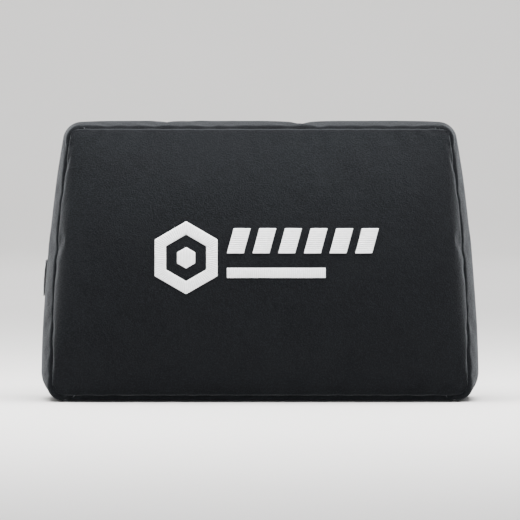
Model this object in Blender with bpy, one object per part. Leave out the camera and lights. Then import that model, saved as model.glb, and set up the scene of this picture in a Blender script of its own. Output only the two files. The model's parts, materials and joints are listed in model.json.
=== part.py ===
"""Lumbar support cushion with a zipped, removable cover.

The cushion stands upright on its base gusset. +X is its width, +Z is up, and its crowned face looks
along -Y, so its flat back lies in a plane of constant Y. The origin is the middle of the bounding box,
at the level of the base.

Every layer (cover, liner, foam) is lofted through the same rings and columns, each one a stated depth
below the cover's outer surface, so a change of outline or thickness moves all of them together. The zip
runs across the back in a sunken channel: its slider travels along X and carries a pull tab that flips
about the slider's crown.
"""

import math

import bmesh
import bpy
from mathutils import Vector

# Overall envelope
HEIGHT = 0.225
BASE_WIDTH = 0.361
TOP_WIDTH = 0.319
THICKNESS = 0.100
BASE_CORNER_RADIUS = 0.022
TOP_CORNER_RADIUS = 0.016
SIDE_BOW = 0.0025

# Face panel: its seam lies in a plane that leans back towards the top, and its crown rises in front of it
FACE_LEAN = 0.026
CROWN_RISE = 0.027
CROWN_ROUNDING = 0.85
RIM_SQUARENESS = 6.0

# How far each seam lies inside the widest line of the gusset
SIDE_SEAM_INSET_BASE = 0.011
SIDE_SEAM_INSET_TOP = 0.006
TOP_SEAM_INSET = 0.005
BASE_SEAM_INSET = 0.003
GUSSET_FULLNESS = 0.6

# Layers, from the outside in
GAP = 0.0003
COVER = 0.0020
LINER = 0.0008
LINER_OUTER = COVER + GAP
LINER_INNER = LINER_OUTER + LINER
FOAM_SURFACE = LINER_INNER + GAP

# Zip, across the back panel
ZIP_HEIGHT = 0.045
TAPE_THICKNESS = 0.0006
TAPE_EDGE = 0.0140
COIL_WIDTH = 0.0022
COIL_HEIGHT = 0.0019
CHANNEL_PLAY = 0.0012
END_CLEARANCE = 0.0040
TAB_END_CLEARANCE = 0.0015
STOP_LENGTH = 0.0020
END_TAB_THICKNESS = 0.0012
END_TAB_SPACE = 0.0015

# Slider and pull tab
SLIDER_LENGTH = 0.0110
SLIDER_FLARE = 0.0004
SLIDER_SIDE_PLAY = 0.0003
SLIDER_TOP_PLATE = 0.0011
SLIDER_BOTTOM_PLATE = 0.0010
SLIDER_FLANGE = 0.0010
POST_WIDTH = 0.0012
POST_LENGTH = 0.0026
CROWN_HALF_LENGTH = 0.0042
CROWN_WIDTH = 0.0018
CROWN_BAR = 0.0009
CROWN_FOOT = 0.0012
CROWN_BELOW_BACK = 0.0006
PIN_DIAMETER = 0.0014
PIN_PLAY_ABOVE = 0.0003
PIN_PLAY_BELOW = 0.0004
TAB_LENGTH = 0.0240
TAB_THICKNESS = 0.0013
TAB_WIDTH = 0.0068
TAB_END_WIDTH = 0.0080
TAB_WINDOW_PLAY = 0.0004
TAB_HOLE_RADIUS = 0.0016

# Embroidery on the face
STITCH_HEIGHT = 0.0008
STITCH_PROUD = GAP + STITCH_HEIGHT
EMBLEM_X = -0.0590
EMBLEM_Z = 0.1160
EMBLEM_RADIUS = 0.0290
EMBLEM_STROKE = 0.0105
EMBLEM_CENTRE_RADIUS = 0.0085
DASH_COUNT = 6
DASH_WIDTH = 0.0135
DASH_HEIGHT = 0.0200
DASH_PITCH = 0.0205
DASH_SLANT = 0.0055
DASHES_START_X = -0.0265
DASHES_BASE_Z = 0.1195
STRIPE_LENGTH = 0.0790
STRIPE_HEIGHT = 0.0080
STRIPE_Z = 0.1000

# Blank care label on the left gusset, by the back seam
LABEL_THICKNESS = 0.0005
LABEL_FROM = 0.30
LABEL_TO = 0.47
LABEL_FRONT = 0.58
LABEL_BACK = 0.97

# How finely the lofts are divided
FACE_RINGS = (0.17, 0.34, 0.50, 0.65, 0.78, 0.89, 0.96, 1.0)
GUSSET_RINGS = (0.0, 0.08, 0.25, 0.50, 0.75, 0.92, 1.0)
EDGE_STEPS = 8
SIDE_STEPS = 6
CORNER_STEPS = 4
PATCH_STEPS = 5
ROUND_STEPS = 12

BACK_Y = THICKNESS / 2
MIDDLE_Z = HEIGHT / 2
SIDE_TILT = math.atan2((BASE_WIDTH - TOP_WIDTH) / 2, HEIGHT)

# Half widths of the zip, counted outwards from its line: the post runs between the coils, inside the slider
CHAIN_SPLIT = POST_WIDTH / 2 + GAP
COIL_EDGE = CHAIN_SPLIT + COIL_WIDTH
FLANGE_INNER = COIL_EDGE + SLIDER_SIDE_PLAY
SLIDER_TAIL = FLANGE_INNER + SLIDER_FLANGE
SLIDER_NOSE = SLIDER_TAIL + SLIDER_FLARE
CHANNEL_HALF_WIDTH = SLIDER_NOSE + CHANNEL_PLAY

# Depths of the zip's layers, counted inwards from the back of the cover
PIN_Y = BACK_Y - CROWN_BELOW_BACK - CROWN_BAR - PIN_PLAY_ABOVE - PIN_DIAMETER / 2
SLIDER_TOP_Y = PIN_Y - PIN_DIAMETER / 2 - PIN_PLAY_BELOW
SLIDER_ROOF_Y = SLIDER_TOP_Y - SLIDER_TOP_PLATE
COIL_TOP_Y = SLIDER_ROOF_Y - GAP
COIL_BASE_Y = COIL_TOP_Y - COIL_HEIGHT
TAPE_TOP_Y = COIL_BASE_Y - GAP
TAPE_BASE_Y = TAPE_TOP_Y - TAPE_THICKNESS
SLIDER_FLOOR_Y = TAPE_BASE_Y - GAP
SLIDER_BASE_Y = SLIDER_FLOOR_Y - SLIDER_BOTTOM_PLATE
CHANNEL_FLOOR_Y = SLIDER_BASE_Y - GAP
LINER_WALL_Z = TAPE_EDGE + 2 * GAP


def clear_scene() -> None:
    """Remove whatever the scene holds."""
    for old in list(bpy.data.objects):
        bpy.data.objects.remove(old)


def material(name: str, colour: tuple, roughness: float, metallic: float = 0.0):
    """A Principled material with one colour."""
    made = bpy.data.materials.new(name)
    made.use_nodes = True
    shader = made.node_tree.nodes["Principled BSDF"]
    shader.inputs["Base Color"].default_value = (*colour, 1.0)
    shader.inputs["Roughness"].default_value = roughness
    shader.inputs["Metallic"].default_value = metallic
    return made


def add_swollen_quad(mesh, corners) -> None:
    """Two triangles over four corners, split along the diagonal further from the cushion's middle.

    Layers that follow each other are split alike this way, so their facets don't cross.
    """
    a, b, c, d = corners
    middle = Vector((0.0, 0.0, HEIGHT / 2))
    if ((a.co + c.co) / 2 - middle).length >= ((b.co + d.co) / 2 - middle).length:
        mesh.faces.new((a, b, c))
        mesh.faces.new((a, c, d))
    else:
        mesh.faces.new((a, b, d))
        mesh.faces.new((b, c, d))


def loft(name, sections, finish, tips=None, closed=False):
    """One closed solid through sections, which are loops of as many points each.

    Its ends are flat caps, or run to a point where tips gives the first and last one. A closed loft has no
    ends: its last section joins its first.
    """
    mesh = bmesh.new()
    loops = [[mesh.verts.new(point) for point in section] for section in sections]
    pairs = list(zip(loops, loops[1:]))
    if closed:
        pairs.append((loops[-1], loops[0]))
    for first, second in pairs:
        for k in range(len(first)):
            after = (k + 1) % len(first)
            add_swollen_quad(mesh, [first[k], first[after], second[after], second[k]])
    if tips:
        for loop, tip in zip((loops[0], loops[-1]), tips):
            point = mesh.verts.new(tip)
            for k in range(len(loop)):
                mesh.faces.new((loop[k], loop[(k + 1) % len(loop)], point))
    elif not closed:
        mesh.faces.new(loops[0])
        mesh.faces.new(loops[-1])
    bmesh.ops.recalc_face_normals(mesh, faces=mesh.faces)
    data = bpy.data.meshes.new(name)
    mesh.to_mesh(data)
    mesh.free()
    data.materials.append(finish)
    made = bpy.data.objects.new(name, data)
    bpy.context.scene.collection.objects.link(made)
    return made


def across_y(name, outline, low, high, finish):
    """A plate: an outline of (x, z) points, between two values of Y."""
    return loft(name, [[(x, y, z) for x, z in outline] for y in (low, high)], finish)


def across_x(name, profile, low, high, finish):
    """A bar: a profile of (y, z) points, between two values of X."""
    return loft(name, [[(x, y, z) for y, z in profile] for x in (low, high)], finish)


def across_z(name, profile, low, high, finish):
    """A bar: a profile of (x, y) points, between two values of Z."""
    return loft(name, [[(x, y, z) for x, y in profile] for z in (low, high)], finish)


def combine(base, others, operation) -> None:
    """Join or cut base with other solids, which are then only guides."""
    for other in others:
        step = base.modifiers.new(other.name, "BOOLEAN")
        step.operation = operation
        step.object = other
        other.hide_render = True
        other.display_type = "WIRE"


def rectangle(low, high):
    """The four corners of an upright rectangle between two corners."""
    return [low, (high[0], low[1]), high, (low[0], high[1])]


def smooth(made, angle=50.0) -> None:
    """Shade a curved piece smooth, with its real edges kept sharp."""
    made.data.shade_smooth()
    made.data.set_sharp_from_angle(angle=math.radians(angle))


# The cushion's own surface


def corner_centre(radius, height):
    """X of a corner arc's centre, where the arc meets the right side's line at this height."""
    return BASE_WIDTH / 2 - (radius + height * math.sin(SIDE_TILT)) / math.cos(SIDE_TILT)


BASE_EDGE_X = corner_centre(BASE_CORNER_RADIUS, BASE_CORNER_RADIUS)
TOP_EDGE_X = corner_centre(TOP_CORNER_RADIUS, HEIGHT - TOP_CORNER_RADIUS)


def arc(x, z, radius, start, end, steps):
    """Columns (x, z, outward x, outward z) around a corner, both ends included."""
    angles = [start + (end - start) * k / steps for k in range(steps + 1)]
    return [(x + radius * math.cos(a), z + radius * math.sin(a), math.cos(a), math.sin(a)) for a in angles]


def side_column(share):
    """The column at this share of the way up the right side, between its two corner arcs."""
    across, up = math.cos(SIDE_TILT), math.sin(SIDE_TILT)
    low_x = BASE_EDGE_X + BASE_CORNER_RADIUS * across
    low_z = BASE_CORNER_RADIUS * (1 + up)
    high_x = TOP_EDGE_X + TOP_CORNER_RADIUS * across
    high_z = HEIGHT - TOP_CORNER_RADIUS * (1 - up)
    bow = SIDE_BOW * math.sin(math.pi * share)
    x = low_x + (high_x - low_x) * share + bow * across
    z = low_z + (high_z - low_z) * share + bow * up
    return (x, z, across, up)


def mirrored(column):
    """The same column on the left side."""
    x, z, out_x, out_z = column
    return (-x, z, -out_x, out_z)


def strip_columns():
    """Columns of the gusset strip: from the right end of the base, over the top, to its left end."""
    right = arc(BASE_EDGE_X, BASE_CORNER_RADIUS, BASE_CORNER_RADIUS, -math.pi / 2, SIDE_TILT, CORNER_STEPS)
    right += [side_column(k / SIDE_STEPS) for k in range(1, SIDE_STEPS)]
    top_z = HEIGHT - TOP_CORNER_RADIUS
    right += arc(TOP_EDGE_X, top_z, TOP_CORNER_RADIUS, SIDE_TILT, math.pi / 2, CORNER_STEPS)
    left = [mirrored(column) for column in reversed(right)]
    xs = [TOP_EDGE_X * (1 - 2 * k / EDGE_STEPS) for k in range(1, EDGE_STEPS)]
    return right + [(x, HEIGHT, 0.0, 1.0) for x in xs] + left


def base_columns(half):
    """Columns along the base, from left to right, out to half on each side."""
    return [(half * (2 * k / EDGE_STEPS - 1), 0.0, 0.0, -1.0) for k in range(EDGE_STEPS + 1)]


def all_columns():
    """The whole way round."""
    return strip_columns() + base_columns(BASE_EDGE_X)[1:-1]


def seam_inset(column):
    """How far the seams lie inside this column."""
    share = min(max(column[1] / HEIGHT, 0.0), 1.0)
    side = SIDE_SEAM_INSET_BASE + (SIDE_SEAM_INSET_TOP - SIDE_SEAM_INSET_BASE) * share
    end = TOP_SEAM_INSET if column[3] > 0 else BASE_SEAM_INSET
    return side * column[2] ** 2 + end * column[3] ** 2


def fullness(column, t):
    """How far the gusset bellies out, from 0 at its seams to 1. Along the base it is flat, to stand on."""
    rounded = math.sin(math.pi * t) ** GUSSET_FULLNESS if 0 < t < 1 else 0.0
    flat = 1.0 if 0 < t < 1 else 0.0
    share = column[3] ** 2 if column[3] < 0 else 0.0
    return rounded + (flat - rounded) * share


def arch(share):
    """The crown's profile from the base seam, at -1, to the top seam, at 1."""
    return max(0.0, 1 - share * share) ** CROWN_ROUNDING


def crown_reach():
    """How far the crown's foremost point lies in front of the seam plane's middle."""
    shares = [k / 100 - 1 for k in range(201)]
    return max(CROWN_RISE * arch(v) - FACE_LEAN * v / 2 for v in shares)


SEAM_MIDDLE_Y = -THICKNESS / 2 + STITCH_PROUD + crown_reach()


def seam_plane(z):
    """Y of the face seam's leaning plane."""
    return SEAM_MIDDLE_Y + FACE_LEAN * (z - MIDDLE_Z) / HEIGHT


def gusset_point(column, t, depth):
    """A point of the gusset, t of the way from the face seam to the back one, this deep in the surface."""
    x, z, out_x, out_z = column
    inset = seam_inset(column) * (1 - fullness(column, t)) + depth
    x, z = x - out_x * inset, z - out_z * inset
    front = seam_plane(z) + GAP
    return (x, front + (BACK_Y - COVER - GAP - front) * t, z)


def face_share(x, z):
    """How far out to the face's seam a point lies, from 0 at its middle to 1."""
    half_width = BASE_WIDTH / 2 - SIDE_SEAM_INSET_BASE - math.tan(SIDE_TILT) * z
    return max(abs(x) / half_width, abs(z - MIDDLE_Z) / (MIDDLE_Z - TOP_SEAM_INSET))


def face_point(x, z, depth, share=None):
    """A point of the face, share of the way from its middle to its seam, this deep below the surface."""
    share = face_share(x, z) if share is None else share
    v = (z - MIDDLE_Z) / (MIDDLE_Z - BASE_SEAM_INSET)
    rim = (1 - share**RIM_SQUARENESS) ** 0.5
    return (x, seam_plane(z) - (CROWN_RISE - depth) * arch(v) * rim, z)


def face_ring(columns, share, depth):
    """A ring of the face panel, at this share of the way out to its seam."""
    ring = []
    for column in columns:
        x, _, z = gusset_point(column, 0.0, depth)
        ring.append(face_point(x * share, MIDDLE_Z + (z - MIDDLE_Z) * share, depth, share))
    return ring


def face_rings(depth):
    """All rings of the face, from the middle out."""
    columns = all_columns()
    return [face_ring(columns, share, depth) for share in FACE_RINGS]


def gusset_rings(depth, back):
    """The gusset's rings behind the seam, the last one moved to the plane y = back."""
    columns = all_columns()
    rings = [[gusset_point(column, t, depth) for column in columns] for t in GUSSET_RINGS[1:-1]]
    last = [gusset_point(column, 1.0, depth) for column in columns]
    return rings + [[(x, back, z) for x, _, z in last]]


def gusset_section(column):
    """The closed section of the cover's gusset at one column."""
    outer = [gusset_point(column, t, 0.0) for t in GUSSET_RINGS]
    inner = [gusset_point(column, t, COVER) for t in reversed(GUSSET_RINGS)]
    return outer + inner


def back_outline(depth):
    """The (x, z) outline of a back sheet whose edge is this deep inside the gusset."""
    return [(x, z) for x, _, z in gusset_rings(depth, BACK_Y)[-1]]


def above(outline, level, sign):
    """The part of a convex outline on one side of a level: above it, or below it if sign is -1."""
    kept = []
    for (x0, z0), (x1, z1) in zip(outline, outline[1:] + outline[:1]):
        inside, next_inside = sign * (z0 - level) >= 0, sign * (z1 - level) >= 0
        if inside:
            kept.append((x0, z0))
        if inside != next_inside:
            kept.append((x0 + (x1 - x0) * (level - z0) / (z1 - z0), level))
    return kept


def channel_half_length():
    """How far the zip's channel reaches to each side, inside the liner's walls."""
    _, high = zip_edges()
    xs = [x for x, z in above(back_outline(LINER_INNER), high, -1)]
    return max(xs) - END_CLEARANCE


def slider_reach():
    """How far the slider's middle travels to each side: its tab can lie flat at either end."""
    return channel_half_length() - TAB_LENGTH - TAB_END_CLEARANCE


def chain_half_length():
    """How far the coils reach to each side, as far as the slider's own ends."""
    return slider_reach() + SLIDER_LENGTH / 2 + GAP


def zip_edges():
    """Z of the lowest and highest reach of the zip's tapes."""
    return (ZIP_HEIGHT - LINER_WALL_Z - LINER, ZIP_HEIGHT + LINER_WALL_Z + LINER)


def mirrored_profile(profile, sign):
    """A (y, z) profile drawn above the zip's line, as z from that line, placed above or below it."""
    return [(y, ZIP_HEIGHT + sign * z) for y, z in profile]


# Sub-parts


def foam_and_liner(foam, knit) -> None:
    """The moulded core, and the two sheets of its knitted liner."""
    back = BACK_Y - LINER_INNER - GAP
    front_tip = face_point(0.0, MIDDLE_Z, FOAM_SURFACE)
    rings = face_rings(FOAM_SURFACE) + gusset_rings(FOAM_SURFACE, back)
    core = loft("foam_core", rings, foam, tips=(front_tip, (0.0, back, MIDDLE_Z)))
    floor = CHANNEL_FLOOR_Y - LINER - GAP
    wall = LINER_WALL_Z + LINER + GAP
    profile = rectangle((floor, ZIP_HEIGHT - wall), (BACK_Y, ZIP_HEIGHT + wall))
    groove = across_x("zip_groove_cutter", profile, -BASE_WIDTH, BASE_WIDTH, foam)
    combine(core, [groove], "DIFFERENCE")
    smooth(core)

    outer = face_rings(LINER_OUTER) + gusset_rings(LINER_OUTER, back)
    inner = face_rings(LINER_INNER) + gusset_rings(LINER_INNER, back)
    tips = (face_point(0.0, MIDDLE_Z, LINER_OUTER), face_point(0.0, MIDDLE_Z, LINER_INNER))
    smooth(loft("liner_front", outer + inner[::-1], knit, tips=tips))

    outside, inside = BACK_Y - LINER_OUTER, BACK_Y - LINER_INNER
    plate = across_y("liner_back", back_outline(LINER_OUTER), inside, outside, knit)
    half = channel_half_length()
    wall_middle = LINER_WALL_Z + LINER / 2
    cut = rectangle((-half, ZIP_HEIGHT - wall_middle), (half, ZIP_HEIGHT + wall_middle))
    window = across_y("liner_window_cutter", cut, inside - LINER, outside + LINER, knit)
    combine(plate, [window], "DIFFERENCE")
    trough = []
    for sign in (1, -1):
        run = [
            (outside - LINER / 4, LINER_WALL_Z),
            (CHANNEL_FLOOR_Y, LINER_WALL_Z),
            (CHANNEL_FLOOR_Y - LINER, LINER_WALL_Z + LINER),
            (outside - LINER / 4, LINER_WALL_Z + LINER),
        ]
        trough.append(mirrored_profile(run, sign))
    upper, lower = trough
    profile = [upper[0], upper[1], lower[1], lower[0], lower[3], lower[2], upper[2], upper[3]]
    combine(plate, [across_x("liner_trough", profile, -half, half, knit)], "UNION")


def cover(velour, backing) -> None:
    """The cover's sewn panels: face, gusset strip, base gusset and the two back panels."""
    outer, inner = face_rings(0.0), face_rings(COVER)
    tips = (face_point(0.0, MIDDLE_Z, 0.0), face_point(0.0, MIDDLE_Z, COVER))
    smooth(loft("face_panel", outer + inner[::-1], velour, tips=tips))
    smooth(loft("boxing_strip", [gusset_section(column) for column in strip_columns()], velour))
    base = base_columns(BASE_EDGE_X - GAP)
    smooth(loft("boxing_bottom", [gusset_section(column) for column in base], velour))

    floor = TAPE_TOP_Y + GAP
    turn = CHANNEL_HALF_WIDTH + COVER
    lip = [
        (BACK_Y, turn + COVER),
        (BACK_Y, turn),
        (BACK_Y - COVER, CHANNEL_HALF_WIDTH),
        (floor, CHANNEL_HALF_WIDTH),
        (floor, TAPE_EDGE),
        (floor + COVER, TAPE_EDGE),
        (floor + COVER, turn),
        (BACK_Y - COVER, turn),
        (BACK_Y - COVER, turn + COVER),
    ]
    half = channel_half_length()
    for name, sign in (("back_panel_upper", 1), ("back_panel_lower", -1)):
        outline = above(back_outline(0.0), ZIP_HEIGHT + sign * turn, sign)
        panel = across_y(name, outline, BACK_Y - COVER, BACK_Y, backing)
        fold = across_x(name + "_fold", mirrored_profile(lip, sign), -half, half, backing)
        combine(panel, [fold], "UNION")


def zip_chain(tape, coil, metal, backing) -> None:
    """The two tapes and coils, their stops, and the fabric tabs over their ends."""
    half, chain_half = channel_half_length(), chain_half_length()
    soften = COIL_HEIGHT / 4
    stops = {"upper": 1, "lower": -1}
    for side, sign in stops.items():
        strip = [
            (TAPE_BASE_Y, CHAIN_SPLIT),
            (TAPE_TOP_Y, CHAIN_SPLIT),
            (TAPE_TOP_Y, TAPE_EDGE),
            (TAPE_BASE_Y, TAPE_EDGE),
        ]
        across_x("zip_tape_" + side, mirrored_profile(strip, sign), -half, half, tape)
        bead = [
            (COIL_BASE_Y, CHAIN_SPLIT),
            (COIL_TOP_Y - soften, CHAIN_SPLIT),
            (COIL_TOP_Y, CHAIN_SPLIT + soften),
            (COIL_TOP_Y, COIL_EDGE - soften),
            (COIL_TOP_Y - soften, COIL_EDGE),
            (COIL_BASE_Y, COIL_EDGE),
        ]
        profile = mirrored_profile(bead, sign)
        across_x("zip_coil_" + side, profile, -chain_half, chain_half, coil)
        stop = mirrored_profile(rectangle((COIL_BASE_Y, CHAIN_SPLIT), (COIL_TOP_Y, COIL_EDGE)), sign)
        start = -chain_half - GAP
        across_x("zip_top_stop_" + side, stop, start - STOP_LENGTH, start, metal)
    stop = rectangle((COIL_BASE_Y, ZIP_HEIGHT - COIL_EDGE), (COIL_TOP_Y, ZIP_HEIGHT + COIL_EDGE))
    start = chain_half + GAP
    across_x("zip_bottom_stop", stop, start, start + STOP_LENGTH, metal)

    tab_width = CHANNEL_HALF_WIDTH - GAP
    tab_start = chain_half + GAP + STOP_LENGTH + END_TAB_SPACE
    low = (COIL_BASE_Y, ZIP_HEIGHT - tab_width)
    high = (COIL_BASE_Y + END_TAB_THICKNESS, ZIP_HEIGHT + tab_width)
    across_x("zip_end_tab_right", rectangle(low, high), tab_start, half, backing)
    across_x("zip_end_tab_left", rectangle(low, high), -half, -tab_start, backing)


def zip_slider(metal) -> None:
    """The slider, whose origin is on its travel line, closed at the left end of the chain."""
    rest_x = -slider_reach()
    nose, tail = SLIDER_NOSE, SLIDER_TAIL
    front, rear = rest_x - SLIDER_LENGTH / 2, rest_x + SLIDER_LENGTH / 2
    shoulder = SLIDER_LENGTH / 5
    outline = [
        (front, nose - shoulder / 2),
        (front + shoulder / 2, nose),
        (front + 2 * shoulder, nose),
        (rear - shoulder / 2, tail),
        (rear, tail - shoulder / 2),
    ]
    outline += [(x, -z) for x, z in reversed(outline)]
    outline = [(x, ZIP_HEIGHT + z) for x, z in outline]
    body = across_y("zip_slider_body", outline, SLIDER_ROOF_Y, SLIDER_TOP_Y, metal)
    floor = across_y("slider_floor", outline, SLIDER_BASE_Y, SLIDER_FLOOR_Y, metal)

    post_x = rest_x - CROWN_HALF_LENGTH
    low = (post_x, ZIP_HEIGHT - POST_WIDTH / 2)
    high = (post_x + POST_LENGTH, ZIP_HEIGHT + POST_WIDTH / 2)
    into = SLIDER_BOTTOM_PLATE / 2
    post = across_y("slider_post", rectangle(low, high), SLIDER_BASE_Y + into, SLIDER_ROOF_Y + into, metal)

    parts = [floor, post]
    for side in (1, -1):
        strip = [
            (rear - shoulder, FLANGE_INNER),
            (front + shoulder, FLANGE_INNER),
            (front + shoulder, tail),
            (rear - shoulder, tail),
        ]
        strip = [(x, ZIP_HEIGHT + side * z) for x, z in strip]
        low_y = TAPE_TOP_Y + GAP + GAP / 2
        parts.append(across_y("slider_flange", strip, low_y, SLIDER_ROOF_Y + into, metal))

    top = SLIDER_TOP_Y - into
    crown_top = BACK_Y - CROWN_BELOW_BACK
    inner = CROWN_HALF_LENGTH - CROWN_FOOT
    chamfer = CROWN_BAR / 2
    hoop = [
        (-CROWN_HALF_LENGTH, top),
        (-CROWN_HALF_LENGTH, crown_top - chamfer),
        (-CROWN_HALF_LENGTH + chamfer, crown_top),
        (CROWN_HALF_LENGTH - chamfer, crown_top),
        (CROWN_HALF_LENGTH, crown_top - chamfer),
        (CROWN_HALF_LENGTH, top),
        (inner, top),
        (inner, crown_top - CROWN_BAR),
        (-inner, crown_top - CROWN_BAR),
        (-inner, top),
    ]
    hoop = [(rest_x + x, y) for x, y in hoop]
    parts.append(
        across_z("slider_crown", hoop, ZIP_HEIGHT - CROWN_WIDTH / 2, ZIP_HEIGHT + CROWN_WIDTH / 2, metal)
    )
    combine(body, parts, "UNION")
    move_origin(body, (rest_x, PIN_Y, ZIP_HEIGHT))


def pull_tab(metal) -> None:
    """The pull tab, lying flat over the closed chain, with its origin on the pin's axis."""
    rest_x = -slider_reach()
    reach = math.hypot(CROWN_HALF_LENGTH, BACK_Y - CROWN_BELOW_BACK - PIN_Y) + TAB_WINDOW_PLAY
    root, end, radius = TAB_WIDTH / 2, TAB_END_WIDTH / 2, PIN_DIAMETER / 2
    chamfer = end / 2
    half = [
        (0.0, root),
        (reach, root),
        (TAB_LENGTH - chamfer, end),
        (TAB_LENGTH, end - chamfer),
    ]
    outline = half + [(x, -z) for x, z in reversed(half)]
    outline = [(rest_x + x, ZIP_HEIGHT + z) for x, z in outline]
    low, high = PIN_Y - TAB_THICKNESS / 2, PIN_Y + TAB_THICKNESS / 2
    tab = across_y("zip_pull_tab", outline, low, high, metal)
    circle = [2 * math.pi * k / ROUND_STEPS for k in range(ROUND_STEPS)]
    pin = [(rest_x + radius * math.cos(a), PIN_Y + radius * math.sin(a)) for a in circle]
    barrel = across_z("tab_pin", pin, ZIP_HEIGHT - root, ZIP_HEIGHT + root, metal)
    window_half = CROWN_WIDTH / 2 + TAB_WINDOW_PLAY
    low_corner = (rest_x + radius, ZIP_HEIGHT - window_half)
    high_corner = (rest_x + reach, ZIP_HEIGHT + window_half)
    window = across_y("tab_window", rectangle(low_corner, high_corner), low - GAP, high + GAP, metal)
    centre = rest_x + TAB_LENGTH - 2 * chamfer
    hole = [(math.cos(a), math.sin(a)) for a in circle]
    hole = [(centre + TAB_HOLE_RADIUS * x, ZIP_HEIGHT + TAB_HOLE_RADIUS * z) for x, z in hole]
    eye = across_y("tab_hole", hole, low - GAP, high + GAP, metal)
    combine(tab, [barrel], "UNION")
    combine(tab, [window, eye], "DIFFERENCE")
    move_origin(tab, (rest_x, PIN_Y, ZIP_HEIGHT))


def move_origin(made, point) -> None:
    """Put an object's origin at a point, and leave its shape where it is."""
    for vertex in made.data.vertices:
        vertex.co = [c - p for c, p in zip(vertex.co, point)]
    made.location = point


def face_patch(name, place, along, across, outer, inner, finish, closed=False):
    """A thin piece that follows the face: place(i, j) gives its (x, z), for shares i along and j across."""
    sections = []
    for step in range(along if closed else along + 1):
        points = [place(step / along, k / across) for k in range(across + 1)]
        section = [face_point(x, z, outer) for x, z in points]
        section += [face_point(x, z, inner) for x, z in reversed(points)]
        sections.append(section)
    return loft(name, sections, finish, closed=closed)


def hexagon(share, radius):
    """The (x, z) at this share of the way round the emblem's hexagon, which stands on a corner."""
    side = min(int(share * 6), 5)
    angles = [math.pi / 2 + math.pi / 3 * (side + k) for k in range(2)]
    (x0, z0), (x1, z1) = [(radius * math.cos(a), radius * math.sin(a)) for a in angles]
    part = share * 6 - side
    return (EMBLEM_X + x0 + (x1 - x0) * part, EMBLEM_Z + z0 + (z1 - z0) * part)


def embroidery(thread) -> None:
    """A hexagonal ring with a solid middle, a row of slanted dashes, and a plain stripe below them."""
    outer, inner = -STITCH_PROUD, -GAP
    face_patch(
        "emblem_ring",
        lambda i, j: hexagon(i, EMBLEM_RADIUS - EMBLEM_STROKE * j),
        4 * 6,
        2,
        outer,
        inner,
        thread,
        closed=True,
    )
    rims = [
        [face_point(*hexagon(k / ROUND_STEPS, EMBLEM_CENTRE_RADIUS), depth) for k in range(ROUND_STEPS)]
        for depth in (outer, inner)
    ]
    tips = [face_point(EMBLEM_X, EMBLEM_Z, depth) for depth in (outer, inner)]
    loft("emblem_centre", rims, thread, tips=tips)
    for index in range(DASH_COUNT):
        start = DASHES_START_X + DASH_PITCH * index
        face_patch(
            f"dash_{index + 1}",
            lambda i, j, x=start: (x + DASH_SLANT * i + DASH_WIDTH * j, DASHES_BASE_Z + DASH_HEIGHT * i),
            PATCH_STEPS,
            2,
            outer,
            inner,
            thread,
        )
    face_patch(
        "stripe_lower",
        lambda i, j: (DASHES_START_X + STRIPE_LENGTH * i, STRIPE_Z + STRIPE_HEIGHT * j),
        2 * PATCH_STEPS,
        2,
        outer,
        inner,
        thread,
    )


def care_label(satin) -> None:
    """A blank label that lies on the left gusset, its edge by the back seam."""
    sections = []
    for step in range(PATCH_STEPS + 1):
        column = mirrored(side_column(LABEL_FROM + (LABEL_TO - LABEL_FROM) * step / PATCH_STEPS))
        ts = [LABEL_FRONT + (LABEL_BACK - LABEL_FRONT) * k / PATCH_STEPS for k in range(PATCH_STEPS + 1)]
        section = [gusset_point(column, t, -GAP - LABEL_THICKNESS) for t in ts]
        section += [gusset_point(column, t, -GAP) for t in reversed(ts)]
        sections.append(section)
    loft("care_label", sections, satin)


def main() -> None:
    """Model the whole cushion."""
    clear_scene()
    velour = material("black velour", (0.018, 0.019, 0.021), 0.95)
    backing = material("black polyester back cloth", (0.014, 0.014, 0.016), 0.85)
    knit = material("grey knitted liner", (0.45, 0.45, 0.46), 0.9)
    foam = material("moulded foam", (0.80, 0.76, 0.62), 0.95)
    thread = material("white satin-stitch thread", (0.85, 0.85, 0.86), 0.45)
    tape = material("black woven tape", (0.012, 0.012, 0.013), 0.85)
    coil = material("black nylon coil", (0.02, 0.02, 0.02), 0.4)
    metal = material("black lacquered zinc", (0.03, 0.03, 0.032), 0.3, 0.9)
    satin = material("white satin label", (0.75, 0.75, 0.75), 0.5)
    foam_and_liner(foam, knit)
    cover(velour, backing)
    zip_chain(tape, coil, metal, backing)
    zip_slider(metal)
    pull_tab(metal)
    embroidery(thread)
    care_label(satin)


main()
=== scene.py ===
"""Looks of the lumbar cushion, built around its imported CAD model.

Every length is in metres, in the model's own frame: +X along the cushion's width, +Z up, and -Y out of
its crowned face. Each sub-assembly is a class that holds its sizes and builds and dresses its own pieces;
each finish is a small frozen class that makes one material.
"""

from __future__ import annotations

import json
import logging
import math
from dataclasses import dataclass, field
from enum import Enum
from typing import Any, Callable, Sequence

import bmesh
import bpy
import numpy as np
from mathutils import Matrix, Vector
from mathutils.bvhtree import BVHTree

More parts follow.
